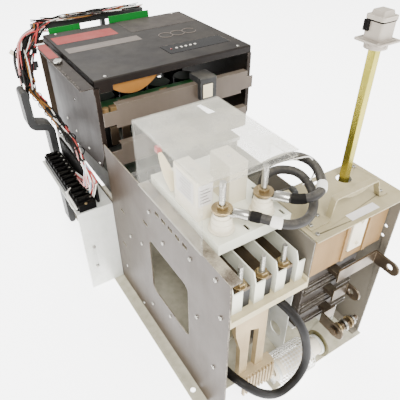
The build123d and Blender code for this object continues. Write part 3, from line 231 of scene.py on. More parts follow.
finishes = {
    # greyPaint: its high amount of the upward pale tone is mostly a painted highlight of the light from
    # above on its top faces, with some dust
    "greyPaint": dict(base="43372c", dark="33291f", rough=0.42, wear=0.7, wearTone="d8d0b8", dustAndTopHighlight=0.9,
                      gloss=0.2),
    "innerPaint": dict(base="6d675c", dark="575147", rough=0.5, wear=0.6, wearTone="cfc9b4", dustAndTopHighlight=0.4,
                       gloss=0.25),
    "creamPaint": dict(base="a89d7c", dark="857a58", rough=0.42, wear=0.5, wearTone="e8e2cf", dustAndTopHighlight=0.2,
                       gloss=0.3),
    "shelfPaint": dict(base="c8bc98", dark="a2956f", rough=0.45, wear=0.6, wearTone="f0ead2", dustAndTopHighlight=0.2,
                       gloss=0.3),
    "lightPaint": dict(base="ebebd9", dark="c8c8b4", rough=0.42, wear=0.5, wearTone="f1efe4", dustAndTopHighlight=0.3),
    "zincSheet": dict(base="e6e6e2", dark="c9ccc2", rough=0.42, metal=0.35, wear=0.3, dustAndTopHighlight=0.45,
                      contrast=0.8, smudge=40),
    "tanBoard": dict(base="94764a", dark="705636", rough=0.62, wear=0.3, wearTone="d9c49b", dustAndTopHighlight=0.15,
                     grain=320, depth=0.2, gloss=0.2),
    "creamPlastic": dict(base="e4dcc6", dark="cbc1a6", rough=0.42, wear=0.3, wearTone="efe9d8", dustAndTopHighlight=0.35),
    "mouldedGrey": dict(base="37302a", dark="241f1a", rough=0.5, wear=0.5, wearTone="d8d0c6", dustAndTopHighlight=0.2,
                        gloss=0.2),
    "blackPlastic": dict(base="060505", dark="030303", rough=0.42, wear=0.3, wearTone="55524e", dustAndTopHighlight=0.05,
                         gloss=0.15),
    "copper": dict(base="8a5236", dark="60371f", rough=0.3, metal=1.0, wear=0.2, dustAndTopHighlight=0.15),
    "tinnedCopper": dict(base="6f6252", dark="43392d", rough=0.36, metal=0.9, wear=0.6, wearTone="c8b79a",
                         dustAndTopHighlight=0.2, contrast=0.9),
    "yellowZinc": dict(base="b3a445", dark="8c8a34", rough=0.28, metal=0.85, wear=0.4, wearTone="d8cf9a",
                       dustAndTopHighlight=0.05, contrast=0.8),
    "brightSteel": dict(base="b8b6b0", dark="8a877e", rough=0.28, metal=1.0, wear=0.3, dustAndTopHighlight=0.15),
    "headMetal": dict(base="b7aea2", dark="8c8377", rough=0.5, metal=0.3, wear=0.6, wearTone="dcd5c9",
                      dustAndTopHighlight=0.3),
    "greyPlastic": dict(base="333333", dark="252524", rough=0.5, wear=0.4, wearTone="a5a5a3", dustAndTopHighlight=0.15,
                        gloss=0.2),
    "brass": dict(base="a8946c", dark="6f5d40", rough=0.3, metal=0.8, wear=0.3, wearTone="e6cfa0", dustAndTopHighlight=0.1,
                  contrast=0.9),
    "cableGrey": dict(base="2c2a28", dark="1f1d1c", rough=0.5, wear=0.0, dustAndTopHighlight=0.15, dustAndTopHighlightScale=60,
                      gloss=0.2),
    "lowerCable": dict(base="0c0a09", dark="080606", rough=0.55, wear=0.0, dustAndTopHighlight=0.03, dustAndTopHighlightScale=60,
                       gloss=0.15),
    "creamCeramic": dict(base="eee8da", dark="dccfb4", rough=0.5, wear=0.2, wearTone="f4f0e6", dustAndTopHighlight=0.3),
    "castMetal": dict(base="c4ad82", dark="7c6846", rough=0.55, metal=0.1, wear=0.6, wearTone="d8c8a8",
                      dustAndTopHighlight=0.3, grain=260, depth=0.4),
    "ringMetal": dict(base="6f6840", dark="3a3524", rough=0.5, metal=0.4, wear=0.4, wearTone="a89d66",
                      dustAndTopHighlight=0.3),
    "brownPaint": dict(base="1f160f", dark="170f0a", rough=0.5, wear=0.6, wearTone="a59a90", dustAndTopHighlight=0.05,
                       gloss=0.12),
    "driveLid": dict(base="17110e", dark="100c0a", rough=0.45, wear=0.6, wearTone="a09588", dustAndTopHighlight=0.05,
                     dustAndTopHighlightScale=12, coat=0.0, gloss=0.12),
    "barPaint": dict(base="5d5248", dark="473e35", rough=0.45, wear=0.5, wearTone="a0968a", dustAndTopHighlight=0.15,
                     gloss=0.2),
    "aluminium": dict(base="a9a8a4", dark="8a8883", rough=0.38, metal=1.0, wear=0.2, dustAndTopHighlight=0.4),
    "greenBoard": dict(base="15702a", dark="0c5a1e", rough=0.32, wear=0.0, dustAndTopHighlight=0.05, gloss=0.2),
    "guardSteel": dict(base="f0efec", dark="e0deda", rough=0.3, metal=0.3, wear=0.3, wearTone="f2f0ec",
                       dustAndTopHighlight=0.1),
    "stripPlastic": dict(base="040303", dark="020202", rough=0.5, wear=0.5, wearTone="3c3b3a", dustAndTopHighlight=0.03,
                         gloss=0.05),
    "redLabel": dict(base="8f2b28", dark="782320", rough=0.6, wear=0.2, wearTone="e6bdb4", dustAndTopHighlight=0.1,
                     gloss=0.2),
    "whiteLabel": dict(base="dcd8d2", dark="c4bfba", rough=0.6, wear=0.1, wearTone="eeeeee", dustAndTopHighlight=0.2),
    "whitePlastic": dict(base="e9e6de", dark="d2cec4", rough=0.45, wear=0.1, wearTone="ffffff", dustAndTopHighlight=0.15),
    "pinkPlastic": dict(base="c98a86", dark="b06f6c", rough=0.5, wear=0.0, dustAndTopHighlight=0.2),
    "redPlastic": dict(base="a8322e", dark="8a2623", rough=0.4, wear=0.0, dustAndTopHighlight=0.1),
    "bluePlastic": dict(base="9fb6c4", dark="809aa9", rough=0.45, wear=0.0, dustAndTopHighlight=0.1),
    "darkGlass": dict(base="050404", dark="030202", rough=0.25, wear=0.0, dustAndTopHighlight=0.0, coat=0.0, gloss=0.1),
    "paleMark": dict(base="cfcac2", dark="b5b0a8", rough=0.5, wear=0.0, dustAndTopHighlight=0.1),
    "lampRed": dict(base="8c2b2b", dark="6b1c1c", rough=0.3, wear=0.0, dustAndTopHighlight=0.1),
    "sheetTan": dict(base="8d5f2b", dark="6f4a20", rough=0.6, wear=0.2, wearTone="e6d2a8", dustAndTopHighlight=0.02,
                     gloss=0.1),
    "ivory": dict(base="efe2bf", dark="d8c79c", rough=0.5, wear=0.1, wearTone="fff8e0", dustAndTopHighlight=0.1),
    "basePaint": dict(base="c6c1ac", dark="a09a84", rough=0.42, wear=0.5, wearTone="efe9d6", dustAndTopHighlight=0.25,
                      dustAndTopHighlightScale=60, contrast=0.8, smudge=60, gloss=0.3),
    "lidPanel": dict(base="2c2521", dark="241d1a", rough=0.4, wear=0.3, wearTone="a59a90", dustAndTopHighlight=0.08,
                     gloss=0.1),
    "paleBand": dict(base="6a6058", dark="544c45", rough=0.45, wear=0.2, wearTone="b0a59c", dustAndTopHighlight=0.05,
                     gloss=0.2),
    "labelInk": dict(base="6b6460", dark="58524f", rough=0.6, wear=0.0, dustAndTopHighlight=0.1),
    "boltSteel": dict(base="6a5a48", dark="33291f", rough=0.35, metal=0.9, wear=0.6, wearTone="c9ad84",
                      dustAndTopHighlight=0.05),
    "gasketBlack": dict(base="0b0908", dark="060505", rough=0.7, wear=0.0, dustAndTopHighlight=0.04, gloss=0.1),
}
looks = {name: finish(name, **values) for name, values in finishes.items()}


def clearPlastic():
    # thin acrylic: see-through walls, a dusty yellowed top, milky scratches
    material = bpy.data.materials.new("clearPlastic")
    material.use_nodes = True
    tree = material.node_tree
    shader = tree.nodes["Principled BSDF"]
    dustAndTopHighlightMask = useGroup(tree, "dustAndTopHighlight", Amount=1.0, Scale=9)
    dirt = useGroup(tree, "smudge", Scale=22, Contrast=0.7)
    colour = blendColour(tree, dustAndTopHighlightMask, blendColour(tree, dirt, tone("b5b3a8"), tone("cfcdc2")),
                         tone("cbc5ae"))
    rimMask = useGroup(tree, "wear", Amount=1.0, Width=0.003)
    colour = blendColour(tree, rimMask, colour, tone("55534b"))
    tree.links.new(colour, shader.inputs["Base Color"])
    rim = useGroup(tree, "wear", Amount=1.0, Width=0.004)
    haze = calc(tree, "ADD", calc(tree, "MULTIPLY", dustAndTopHighlightMask, 0.22), calc(tree, "MULTIPLY", dirt, 0.08))
    flat = tree.nodes.new("ShaderNodeNewGeometry")
    split = tree.nodes.new("ShaderNodeSeparateXYZ")
    tree.links.new(flat.outputs["Normal"], split.inputs["Vector"])
    topSide = ramp(tree, split.outputs["Z"], 0.5, 0.95)
    cover = calc(tree, "ADD", calc(tree, "MULTIPLY", topSide, 0.22), calc(tree, "ADD", haze, 0.02))
    tree.links.new(calc(tree, "ADD", cover, calc(tree, "MULTIPLY", rim, 0.5), True), shader.inputs["Alpha"])
    tree.links.new(calc(tree, "ADD", calc(tree, "MULTIPLY", dustAndTopHighlightMask, 0.35), 0.12, True),
                   shader.inputs["Roughness"])
    shader.inputs["IOR"].default_value = 1.49
    tree.links.new(useGroup(tree, "grain", Scale=90, Strength=0.05), shader.inputs["Normal"])
    return material


looks["clearPlastic"] = clearPlastic()
print("materials made:", len(looks))

# looks of the CAD pieces: material, bevel width in millimetres
cadLooks = {
    "base_plate": ("basePaint", 0.6), "left_side_plate": ("greyPaint",
                                                          0.6), "right_side_plate": ("innerPaint", 0.6),
    "divider_plate": ("innerPaint", 0.6), "rear_panel": ("greyPaint",
                                                         0.6), "terminal_bracket": ("zincSheet", 0.6),
    "switch_top_plate": ("creamPaint", 0.7), "shelf_pan": ("shelfPaint", 0.6), "stud_tray": ("lightPaint",
                                                                                             0.7),
    "switch_bracket": ("zincSheet", 0.6), "pull_handle": ("creamPaint",
                                                          0.5), "mechanism_frame": ("zincSheet", 0.5),
    "fibre_panel": ("tanBoard", 0.4), "auxiliary_switch": ("creamPlastic",
                                                           0.6), "pole_housings": ("mouldedGrey", 0.9),
    "contact_rotor": ("blackPlastic", 0.5), "moving_blades": ("copper",
                                                              0.4), "line_contacts": ("tinnedCopper", 0.5),
    "load_contacts": ("tinnedCopper", 0.5), "arc_plates": ("zincSheet",
                                                           0.2), "operating_shaft": ("yellowZinc", 0.4),
    "shaft_crank": ("brightSteel", 0.5), "rotor_crank": ("brightSteel",
                                                         0.5), "coupling_link": ("brightSteel", 0.5),
    "shaft_hub": ("headMetal", 0.8), "coupling_flange": ("headMetal", 0.5), "head_housing": ("headMetal",
                                                                                             0.8),
    "head_cap": ("headMetal", 0.8), "phase_barriers": ("lightPaint",
                                                       0.4), "terminal_blocks": ("greyPlastic", 0.8),
    "busbars": ("boltSteel", 0.6), "standoff_insulators": ("creamPlastic",
                                                           0.5), "terminal_studs": ("brightSteel", 0.3),
    "stud_nuts": ("brass", 0.6), "cable_lugs": ("brightSteel", 0.6), "cable_glands": ("greyPlastic", 0.8),
    "clear_cover": ("clearPlastic", 0.8), "relay_modules": ("creamPlastic",
                                                            0.8), "resistor_tube": ("creamCeramic", 0.8),
    "perforated_guard": ("guardSteel", 0.0), "tube_bands": ("zincSheet", 0.5), "cast_yoke": ("castMetal",
                                                                                             1.4),
    "ring_cores": ("ringMetal", 0.8), "drive_side_walls": ("brownPaint", 0.6), "heat_sink": ("aluminium",
                                                                                             0.3),
    "drive_cover": ("driveLid", 0.9), "latch_rail": ("brownPaint", 0.5), "latch_knob": ("brightSteel", 0.5),
    "crossbars": ("barPaint", 0.6), "plug_connector": ("greyPlastic", 0.8), "circuit_boards": ("greenBoard",
                                                                                               0.2),
    "drive_capacitors": ("blackPlastic", 0.6), "fan_frame": ("blackPlastic",
                                                             0.8), "fan_rotor": ("blackPlastic", 0.4),
    "terminal_strip": ("stripPlastic", 0.9), "wire_ducts": ("greyPlastic", 1.0), "screws": ("brightSteel",
                                                                                            0.0),
    "power_cable_outer": ("cableGrey", 0.0), "power_cable_inner": ("cableGrey",
                                                                   0.0), "lower_cable": ("lowerCable", 0.0),
}


def softenEdges(obj, width):
    # join split corners, round the edges, keep flat faces flat
    if width > 0:
        weld = obj.modifiers.new("weld", "WELD")
        weld.merge_threshold = 0.00001
        bevel = obj.modifiers.new("bevel", "BEVEL")
        bevel.width = width * mm
        bevel.segments = 2
        bevel.limit_method = "ANGLE"
        bevel.angle_limit = math.radians(40)
        bevel.harden_normals = True


for name, (look, width) in cadLooks.items():
    obj = nodes[name]
    obj.data.materials.clear()
    obj.data.materials.append(looks[look])
    softenEdges(obj, width)
print("CAD pieces dressed")


def place(obj, body="chassis", look="greyPlastic", slotName=None):
    # every piece gets one finish and rides one body
    obj.data.materials.clear()
    obj.data.materials.append(looks[look])
    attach(obj, body)
    return obj


def meshFrom(name, bm):
    data = bpy.data.meshes.new(name)
    bm.to_mesh(data)
    bm.free()
    obj = bpy.data.objects.new(name, data)
    bpy.context.scene.collection.objects.link(obj)
    return obj


def slab(name, low, high, round=0.4, look="greyPlastic", body="chassis", turn=None):
    # a box between two corners with rounded edges
    bm = bmesh.new()
    bmesh.ops.create_cube(bm, size=1)
    bmesh.ops.scale(bm, vec=high - low, verts=bm.verts)
    if round > 0:
        bmesh.ops.bevel(bm, geom=bm.edges[:], offset=round * mm, segments=3, profile=0.5, affect="EDGES")
    if turn:
        bmesh.ops.rotate(bm, matrix=turn, verts=bm.verts)
    bmesh.ops.translate(bm, vec=(low + high) / 2, verts=bm.verts)
    return place(meshFrom(name, bm), body, look)


def turned(name, start, axis, profile, look, body="chassis", count=32):
    # a solid of revolution from (distance along, radius) pairs in millimetres
    bm = bmesh.new()
    rings = []
    spin = axis.normalized().to_track_quat("Z", "Y")
    for along, radius in profile:
        ring = []
        for step in range(count):
            angle = 2 * math.pi * step / count
            point = Vector((math.cos(angle) * radius * mm, math.sin(angle) * radius * mm, along * mm))
            ring.append(bm.verts.new(start + spin @ point))
        rings.append(ring)
    for a, b in zip(rings, rings[1:]):
        for i in range(count):
            bm.faces.new((a[i], a[(i + 1) % count], b[(i + 1) % count], b[i]))
    bm.faces.new(list(reversed(rings[0])))
    bm.faces.new(rings[-1])
    obj = meshFrom(name, bm)
    for face in obj.data.polygons:
        face.use_smooth = len(face.vertices) == 4
    obj.data.set_sharp_from_angle(angle=math.radians(35))
    return place(obj, body, look)


def nurbsThrough(name, points, radius):
    # a round line with the points as its control points
    curve = bpy.data.curves.new(name, "CURVE")
    curve.dimensions = "3D"
    curve.bevel_depth = radius * mm
    curve.bevel_resolution = 4
    curve.resolution_u = 10
    curve.use_fill_caps = True
    spline = curve.splines.new("NURBS")
    spline.points.add(len(points) - 1)
    for target, point in zip(spline.points, points):
        target.co = (*point, 1)
    spline.order_u = 3
    spline.use_endpoint_u = True
    obj = bpy.data.objects.new(name, curve)
    bpy.context.scene.collection.objects.link(obj)
    return obj


def strand(name, points, radius, look, body="chassis"):
    wire = nurbsThrough(name, points, radius)
    wire.data.bevel_resolution = 2
    wire.data.resolution_u = 5
    return place(wire, body, look)


def sheetFrom(name, outline, thick, axis, round, look, body="chassis"):
    # a flat plate cut to an outline, thickened along an axis
    bm = bmesh.new()
    face = bm.faces.new([bm.verts.new(p) for p in outline])
    made = bmesh.ops.extrude_face_region(bm, geom=[face])
    moved = [g for g in made["geom"] if isinstance(g, bmesh.types.BMVert)]
    bmesh.ops.translate(bm, vec=axis.normalized() * thick * mm, verts=moved)
    bmesh.ops.recalc_face_normals(bm, faces=bm.faces)
    obj = meshFrom(name, bm)
    if round > 0:
        bevel = obj.modifiers.new("bevel", "BEVEL")
        bevel.width = round * mm
        bevel.segments = 2
        bevel.limit_method = "ANGLE"
    return place(obj, body, look)


# the three thick cables: each route is the one that the CAD tube follows
cables = {
    "outerCable": {
        "node": "power_cable_outer", "radius": 7.5, "look": "cableGrey",
        "stiffness": "stiff", "lay": "loose",
        "route": [(153.1, 61.83, 452.6), (166.64, 46.25, 452.6), (192, 32, 466), (216, 62, 472),
                  (229, 98, 476),
                  (222, 136, 470), (204, 168, 444), (196, 202, 404), (194, 256, 364), (192, 316, 344),
                  (190, 376, 336), (190, 430, 328)],
        "sleeves": [("shrink", 1, 26, 0.9, "gasketBlack"), ("marker", 52, 70, 1.2, "whitePlastic")],
    },
    "innerCable": {
        "node": "power_cable_inner", "radius": 7.5, "look": "cableGrey",
        "stiffness": "stiff", "lay": "loose",
        "route": [(74.1, 61.83, 452.6), (87.64, 46.25, 452.6), (110, 18, 448), (146, 14, 442),
                  (184, 36, 438),
                  (212, 70, 442), (214, 106, 454), (184, 123, 462), (150, 121, 464), (144, 122, 434),
                  (144, 122, 404)],
        "sleeves": [("shrink", 1, 20, 0.9, "gasketBlack"), ("marker", 32, 50, 1.2, "whitePlastic")],
    },
    "lowerCable": {
        "node": "lower_cable", "radius": 8, "look": "lowerCable", "stiffness": "stiff", "lay": "hanging",
        "route": [(102, 74, 281), (120, 12, 279), (140, -26, 236), (157, -31, 174), (164, -33, 116),
                  (146, -34, 74), (104, -34, 62), (60, -31, 100), (29, -8, 134), (24, 36, 120), (24, 80,
                                                                                                 118)],
        "sleeves": [],
    },
}


def centreLine(obj):
    # the points of a cable's own spline, read from a copy without its bevel
    copy = obj.copy()
    copy.data = obj.data.copy()
    copy.data.bevel_depth = 0
    copy.data.resolution_u = 16
    mesh = bpy.data.meshes.new_from_object(copy)
    points = [v.co.copy() for v in mesh.vertices]
    bpy.data.meshes.remove(mesh)
    bpy.data.curves.remove(copy.data)
    return points


def stretchOf(points, start, end):
    # the points between two distances along the line, in millimetres
    kept = []
    travelled = 0
    for a, b in zip(points, points[1:]):
        step = (b - a).length / mm
        if start <= travelled <= end:
            kept.append(a)
        travelled += step
    return kept


def sleeve(name, points, radius, look):
    # a tight tube round a stretch of cable, with rounded ends
    bm = bmesh.new()
    count = 28
    last = len(points) - 1
    rings = []
    side = None
    for i, point in enumerate(points):
        ahead = (points[min(i + 1, last)] - points[max(i - 1, 0)]).normalized()
        side = (side - ahead * side.dot(ahead)).normalized() if side else ahead.orthogonal().normalized()
        up = ahead.cross(side)
        size = radius * mm * (0.94 if i in (0, last) else 1)
        ring = []
        for step in range(count):
            angle = 2 * math.pi * step / count
            ring.append(bm.verts.new(point + (side * math.cos(angle) + up * math.sin(angle)) * size))
        rings.append(ring)
    for a, b in zip(rings, rings[1:]):
        for i in range(count):
            bm.faces.new((a[i], a[(i + 1) % count], b[(i + 1) % count], b[i]))
    bm.faces.new(list(reversed(rings[0])))
    bm.faces.new(rings[-1])
    bmesh.ops.recalc_face_normals(bm, faces=bm.faces)
    obj = meshFrom(name, bm)
    for face in obj.data.polygons:
        face.use_smooth = len(face.vertices) == 4
    obj.data.set_sharp_from_angle(angle=math.radians(50))
    return place(obj, "chassis", look)


for name, setup in cables.items():
    route = [at(*p) for p in setup["route"]]
    cable = nurbsThrough(name, route, setup["radius"])
    cable.data.bevel_resolution = 8
    cable.data.resolution_u = 24
    place(cable, "chassis", setup["look"], "cable_grey")
    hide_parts(setup["node"])
    line = centreLine(cable)
    for label, start, end, extra, look in setup["sleeves"]:
        stretch = stretchOf(line, start, end)
        sleeve(name + label.capitalize(), stretch, setup["radius"] + extra, look)

# what lies on the drive's lid
lid = {
    "top": 534, "display": ((199, 355), (511.6, 562.4)), "keys": 5, "keyStart": 228, "keyPitch": 12,
    "screws": [(30, 474), (350, 474), (30, 776), (350, 776)],
}
(x0, x1), (y0, y1) = lid["display"]
slab("displayGlass", at(x0, y0, 532.9), at(x1, y1, 534.1), 0.3, "darkGlass")
for step in range(lid["keys"]):
    key = at(lid["keyStart"] + lid["keyPitch"] * step, 538, 534.1)
    turned("displayKey%d" % step, key, Vector((0, 0, 1)), [(0, 3.2), (0.6, 3.2), (0.9, 2.8)], "paleMark")
turned("displayLamp", at(214, 538, 534.1), Vector((0, 0, 1)), [(0, 2.4), (0.7, 2.2), (1.2, 1.4)], "lampRed",
       count=24)
slab("lidRedLabel", at(10, 700, lid["top"] + 0.05), at(160, 752, lid["top"] + 0.3), 0.1, "redLabel")
slab("lidPaleBand", at(14, 632, lid["top"] + 0.05), at(190, 664, lid["top"] + 0.3), 0.1, "paleBand")
slab("lidPalePanel", at(190, 690, lid["top"] + 0.05), at(372, 786, lid["top"] + 0.4), 0.3, "lidPanel")
slab("lidBandLine", at(30, 646, lid["top"] + 0.3), at(130, 649, lid["top"] + 0.4), 0, "labelInk")
for i, (radius, x) in enumerate([(17, 250), (17, 282), (17, 314)]):
    # generic embossed rings on the lid
    arc = [(radius * math.cos(math.radians(a)), radius * math.sin(math.radians(a))) for a in range(20, 341,
                                                                                                   20)]
    points = [at(x + dx, 628 + dy, lid["top"] + 0.2) for dx, dy in arc]
    strand("lidRing%d" % i, points, 0.9, "paleBand")
slab("railRedLabel", at(-29, 640, 528.05), at(-8, 738, 528.3), 0.1, "redLabel")
slab("railPaleLabel", at(-29, 741, 528.05), at(-8, 750, 528.3), 0.1, "whiteLabel")
for i, (x, y) in enumerate(lid["screws"]):
    turned("lidScrew%d" % i, at(x, y, 534), Vector((0, 0, 1)), [(0, 3.6), (1.0, 3.4), (1.7, 2.2)],
           "brightSteel")
for i, y in enumerate((500, 560, 640, 700)):
    turned("wallScrew%d" % i, at(-0.2, y, 330 + 8 * i), Vector((-1, 0, 0)),
           [(0, 3.4), (0.9, 3.2), (1.6, 2)], "brightSteel")
print("drive lid trimmed")

# insulation sheet that hangs under the lid's near edge
insulation = {"x": (31, 141), "y": 468, "top": 517, "sag": 27, "thick": 1.0}
crescent = []
for step in range(17):
    t = step / 16
    x = insulation["x"][0] + (insulation["x"][1] - insulation["x"][0]) * t
    sag = insulation["sag"] * math.sin(math.pi * t) ** 0.8 if 0 < t < 1 else 0
    crescent.append(at(x, insulation["y"], insulation["top"] - sag))
sheetFrom("insulationSheet", crescent, insulation["thick"], Vector((0, 1, 0)), 0, "sheetTan")

# components that show inside the drive's near opening
for i in range(9):
    x = 30 + 38 * i
    high = random.uniform(12, 26)
    turned("boardPart%d" % i, at(x, 500, 438), Vector((0, 0, 1)), [(0, 7), (high, 7), (high + 1, 6)],
           random.choice(["blackPlastic", "tanBoard", "lampRed", "brass"]), count=20)
for i in range(5):
    slab("boardBlock%d" % i, at(44 + 62 * i, 506, 437.2), at(64 + 62 * i, 520, 450 + 4 * (i % 3)), 0.8,
         random.choice(["tanBoard", "blackPlastic", "sheetTan"]))

# blank labels
slab("plugLabel", at(228, 427.2, 456), at(252, 427.9, 486), 0.1, "ivory")
slab("topBlankLabel", at(250, 8, 400.05), at(316, 24, 400.3), 0.1, "whiteLabel")
slab("relayLabel", at(24, 123.3, 446), at(50, 123.9, 486), 0.1, "whiteLabel")
for i in range(5):
    slab("relayLabelLine%d" % i, at(27, 123.15, 452 + 6 * i), at(46 - 3 * (i % 3), 123.3, 453.6 + 6 * i), 0,
         "labelInk")
slab("relaySideLabel", at(21.3, 134, 446), at(21.9, 186, 486), 0.1, "whiteLabel")
for i in range(6):
    slab("relaySideLine%d" % i, at(21.1, 140, 451 + 6 * i), at(21.3, 178 - 5 * (i % 3), 452.5 + 6 * i), 0,
         "labelInk")
turned("relayDimple0", at(37, 160, 494.2), Vector((0, 0, 1)), [(0, 4), (0.5, 3.8), (0.8, 2)], "paleMark")
turned("relayDimple1", at(106, 160, 494.2), Vector((0, 0, 1)), [(0, 4), (0.5, 3.8), (0.8, 2)], "paleMark")


def wander(points, spread):
    # the points moved a little at random, for one strand of a bundle
    made = []
    for i, p in enumerate(points):
        k = spread if 0 < i < len(points) - 1 else spread * 0.6
        made.append(p + Vector([random.uniform(-k, k) * mm for _ in range(3)]))
    return made


wiring = {
    "trunk": [(-47, 470, 368), (-44, 500, 378), (-42, 560, 384), (-42, 620, 386), (-44, 680, 388),
              (-46, 740, 392),
              (-50, 790, 400), (-54, 836, 410)],
    "trunkCount": 30,
    "leadCount": 22,
    "tones": ["lowerCable", "gasketBlack", "cableGrey", "lowerCable", "pinkPlastic", "gasketBlack",
              "cableGrey",
              "sheetTan", "lowerCable", "redPlastic", "gasketBlack", "whitePlastic"],
    "leadTones": ["whitePlastic", "whitePlastic", "redPlastic", "whitePlastic", "bluePlastic",
                  "pinkPlastic"],
}
for i in range(wiring["trunkCount"]):
    look = wiring["tones"][i % len(wiring["tones"])]
    strand("trunkWire%02d" % i, wander([at(*p) for p in wiring["trunk"]], 9), random.choice([1.6, 2.2]),
           look)
for i in range(7):
    # ties that keep the trunk together
    y = 492 + 50 * i
    loop = []
    for step in range(13):
        angle = 2 * math.pi * step / 12
        loop.append(at(-43 + 11.5 * math.cos(angle), y,
                       386 + 11.5 * math.sin(angle) - (8 if i == 0 else 0)))
    strand("trunkTie%d" % i, loop, 1.2, "gasketBlack")

# leads that fan out of the trunk's end, gather again and land on the strip
for i in range(wiring["leadCount"]):
    spread = random.uniform(-1, 1)
    start = at(-47 + random.uniform(-4, 4), 466 + random.uniform(-6, 6), 366 + random.uniform(-5, 5))
    wide = at(-46 + 15 * spread, 446 + random.uniform(-10, 10), 338 + random.uniform(-10, 8))
    low = at(-42 + 14 * spread, 456 + random.uniform(-6, 8), 306 + random.uniform(-6, 6))
    end = at(-38 + 3 * spread, 474 + 5.5 * i, 266)
    look = wiring["leadTones"][i % len(wiring["leadTones"])]
    strand("lead%02d" % i, [start, wide, low, end], 1.5, look)

# a white loop hangs from the strip's outer side, and a white rod lies along it
loop = [(-72, 520, 276), (-84, 506, 282), (-90, 486, 272), (-88, 470, 256), (-80, 476, 246),
        (-77, 500, 250)]
strand("stripLoop", [at(*p) for p in loop], 1.6, "whitePlastic")
strand("stripRod", [at(-81, 530, 262), at(-81.5, 498, 262), at(-81, 462, 258)], 2.2, "whitePlastic")

# harness on the far duct and the dark tangle at its left end
for i in range(34):
    x0 = random.uniform(-10, 30)
    x1 = random.uniform(190, 286)
    points = []
    for t in (0, 0.2, 0.4, 0.6, 0.8, 1):
        points.append(at(x0 + (x1 - x0) * t, 826 + random.uniform(-14, 12), 549 + random.uniform(0, 13)))
    strand("ductWire%02d" % i, points, random.choice([1.0, 1.3]),
           wiring["tones"][(i * 5) % len(wiring["tones"])])
for i in range(46):
    a = at(random.uniform(-14, 34), random.uniform(806, 834), random.uniform(534, 556))
    b = at(random.uniform(-50, -10), random.uniform(790, 846), random.uniform(490, 545))
    c = at(random.uniform(-76, -34), random.uniform(770, 850), random.uniform(430, 500))
    d = at(random.uniform(-70, -38), random.uniform(770, 846), random.uniform(385, 430))
    look = wiring["tones"][(i * 7) % len(wiring["tones"])]
    strand("tangle%02d" % i, [a, b, c, d], random.choice([1.1, 1.6, 2.2]), look)
for i in range(10):
    # plug housings in the tangle
    x = random.uniform(-72, -24)
    y = random.uniform(786, 836)
    z = random.uniform(420, 520)
    tip = Matrix.Rotation(random.uniform(-0.8, 0.8), 3, random.choice(["X", "Y", "Z"]))
    look = random.choice(["whitePlastic", "greyPlastic", "gasketBlack", "creamPlastic"])
    slab("tangleJack%d" % i, at(x, y, z), at(x + 11, y + 7, z + 16), 0.9, look, turn=tip)
print("wiring laid")

# terminal strip: clamp screws, a black slab as painted shadow behind it, end block
strip = {"x": (-78, -34), "start": 470, "pitch": 20, "count": 12}
for step in range(strip["count"]):
    y = strip["start"] + strip["pitch"] * step
    spot = at(-42, y + 8, 266.3)
    turned("stripScrew%02d" % step, spot, Vector((0, 0, 1)), [(0, 3), (0.8, 3), (1.3, 2)], "brightSteel",
           count=20)
    bow = [at(-75 + 5 * k, y + 6 + 3.0 * math.sin(k * 1.3), 271.6) for k in range(7)]
    strand("stripRib%02d" % step, bow, 2.6, "stripPlastic")
slab("stripEndBlock", at(-76, 461, 244.6), at(-36, 469, 262), 1.2, "stripPlastic")
turned("stripEndScrew", at(-58, 465, 262), Vector((0, 0, 1)), [(0, 3.4), (1, 3.4), (1.6, 2.2)], "brass",
       count=24)
# black slab that stands in for the deep shade in the gap between the strip and the duct: painted shadow
slab("stripShadowSlab", at(-30, 470, 250), at(-24, 716, 300), 0.8, "gasketBlack")

# ivory leaf strap under the cover, with a red tip
leaf = {"outline": [(0, 14), (18, 17), (40, 18), (62, 15), (84, 11), (100, 5)], "at": (31, 210, 424)}
lx, ly, lz = leaf["at"]
outline = [at(lx + w * 0.55, ly + s * 0.5, lz + s * 0.5) for s, w in leaf["outline"]]
outline += [at(lx - w * 0.55, ly + s * 0.5, lz + s * 0.5) for s, w in reversed(leaf["outline"])]
sheetFrom("leafStrap", outline, 1.6, Vector((0, -1, 1)), 0.4, "ivory")
slab("leafTip", at(26, 258, 472), at(36, 268, 484), 1.2, "redPlastic")

# head gasket and catch, on the shaft
slab("headGasket", at(313.5, 86.5, 682.6), at(344.5, 117.5, 684.6), 0.5, "gasketBlack", body="shaft")
slab("headCatch", at(309.3, 108, 668), at(313.3, 118, 684), 0.8, "gasketBlack", body="shaft")
for i, (dx, dy) in enumerate([(-20, -20), (20, -20), (20, 20), (-20, 20)]):
    spot = at(329 + dx * 0.55, 102 + dy * 0.55, 656)
    turned("headRivet%d" % i, spot, Vector((0, 0, 1)), [(0, 2), (0.6, 1.9), (1, 1)], "brightSteel", "shaft",
           18)

# threads on the five studs
studs = [(47, 93, 473, 499, 5.15), (126, 93, 473, 499, 5.15)]
studs += [(15 + 1.1 + 43 * (i + 0.5), 28, 365, 394, 4.15) for i in range(3)]
for n, (x, y, z0, z1, radius) in enumerate(studs):
    turns = int((z1 - z0) / 1.5)
    helix = []
    for step in range(turns * 8):
        angle = 2 * math.pi * step / 8
        helix.append(at(x + radius * math.cos(angle), y + radius * math.sin(angle), z0 + 1.5 * step / 8))
    strand("studThread%d" % n, helix, 0.55, "brightSteel").data.resolution_u = 2

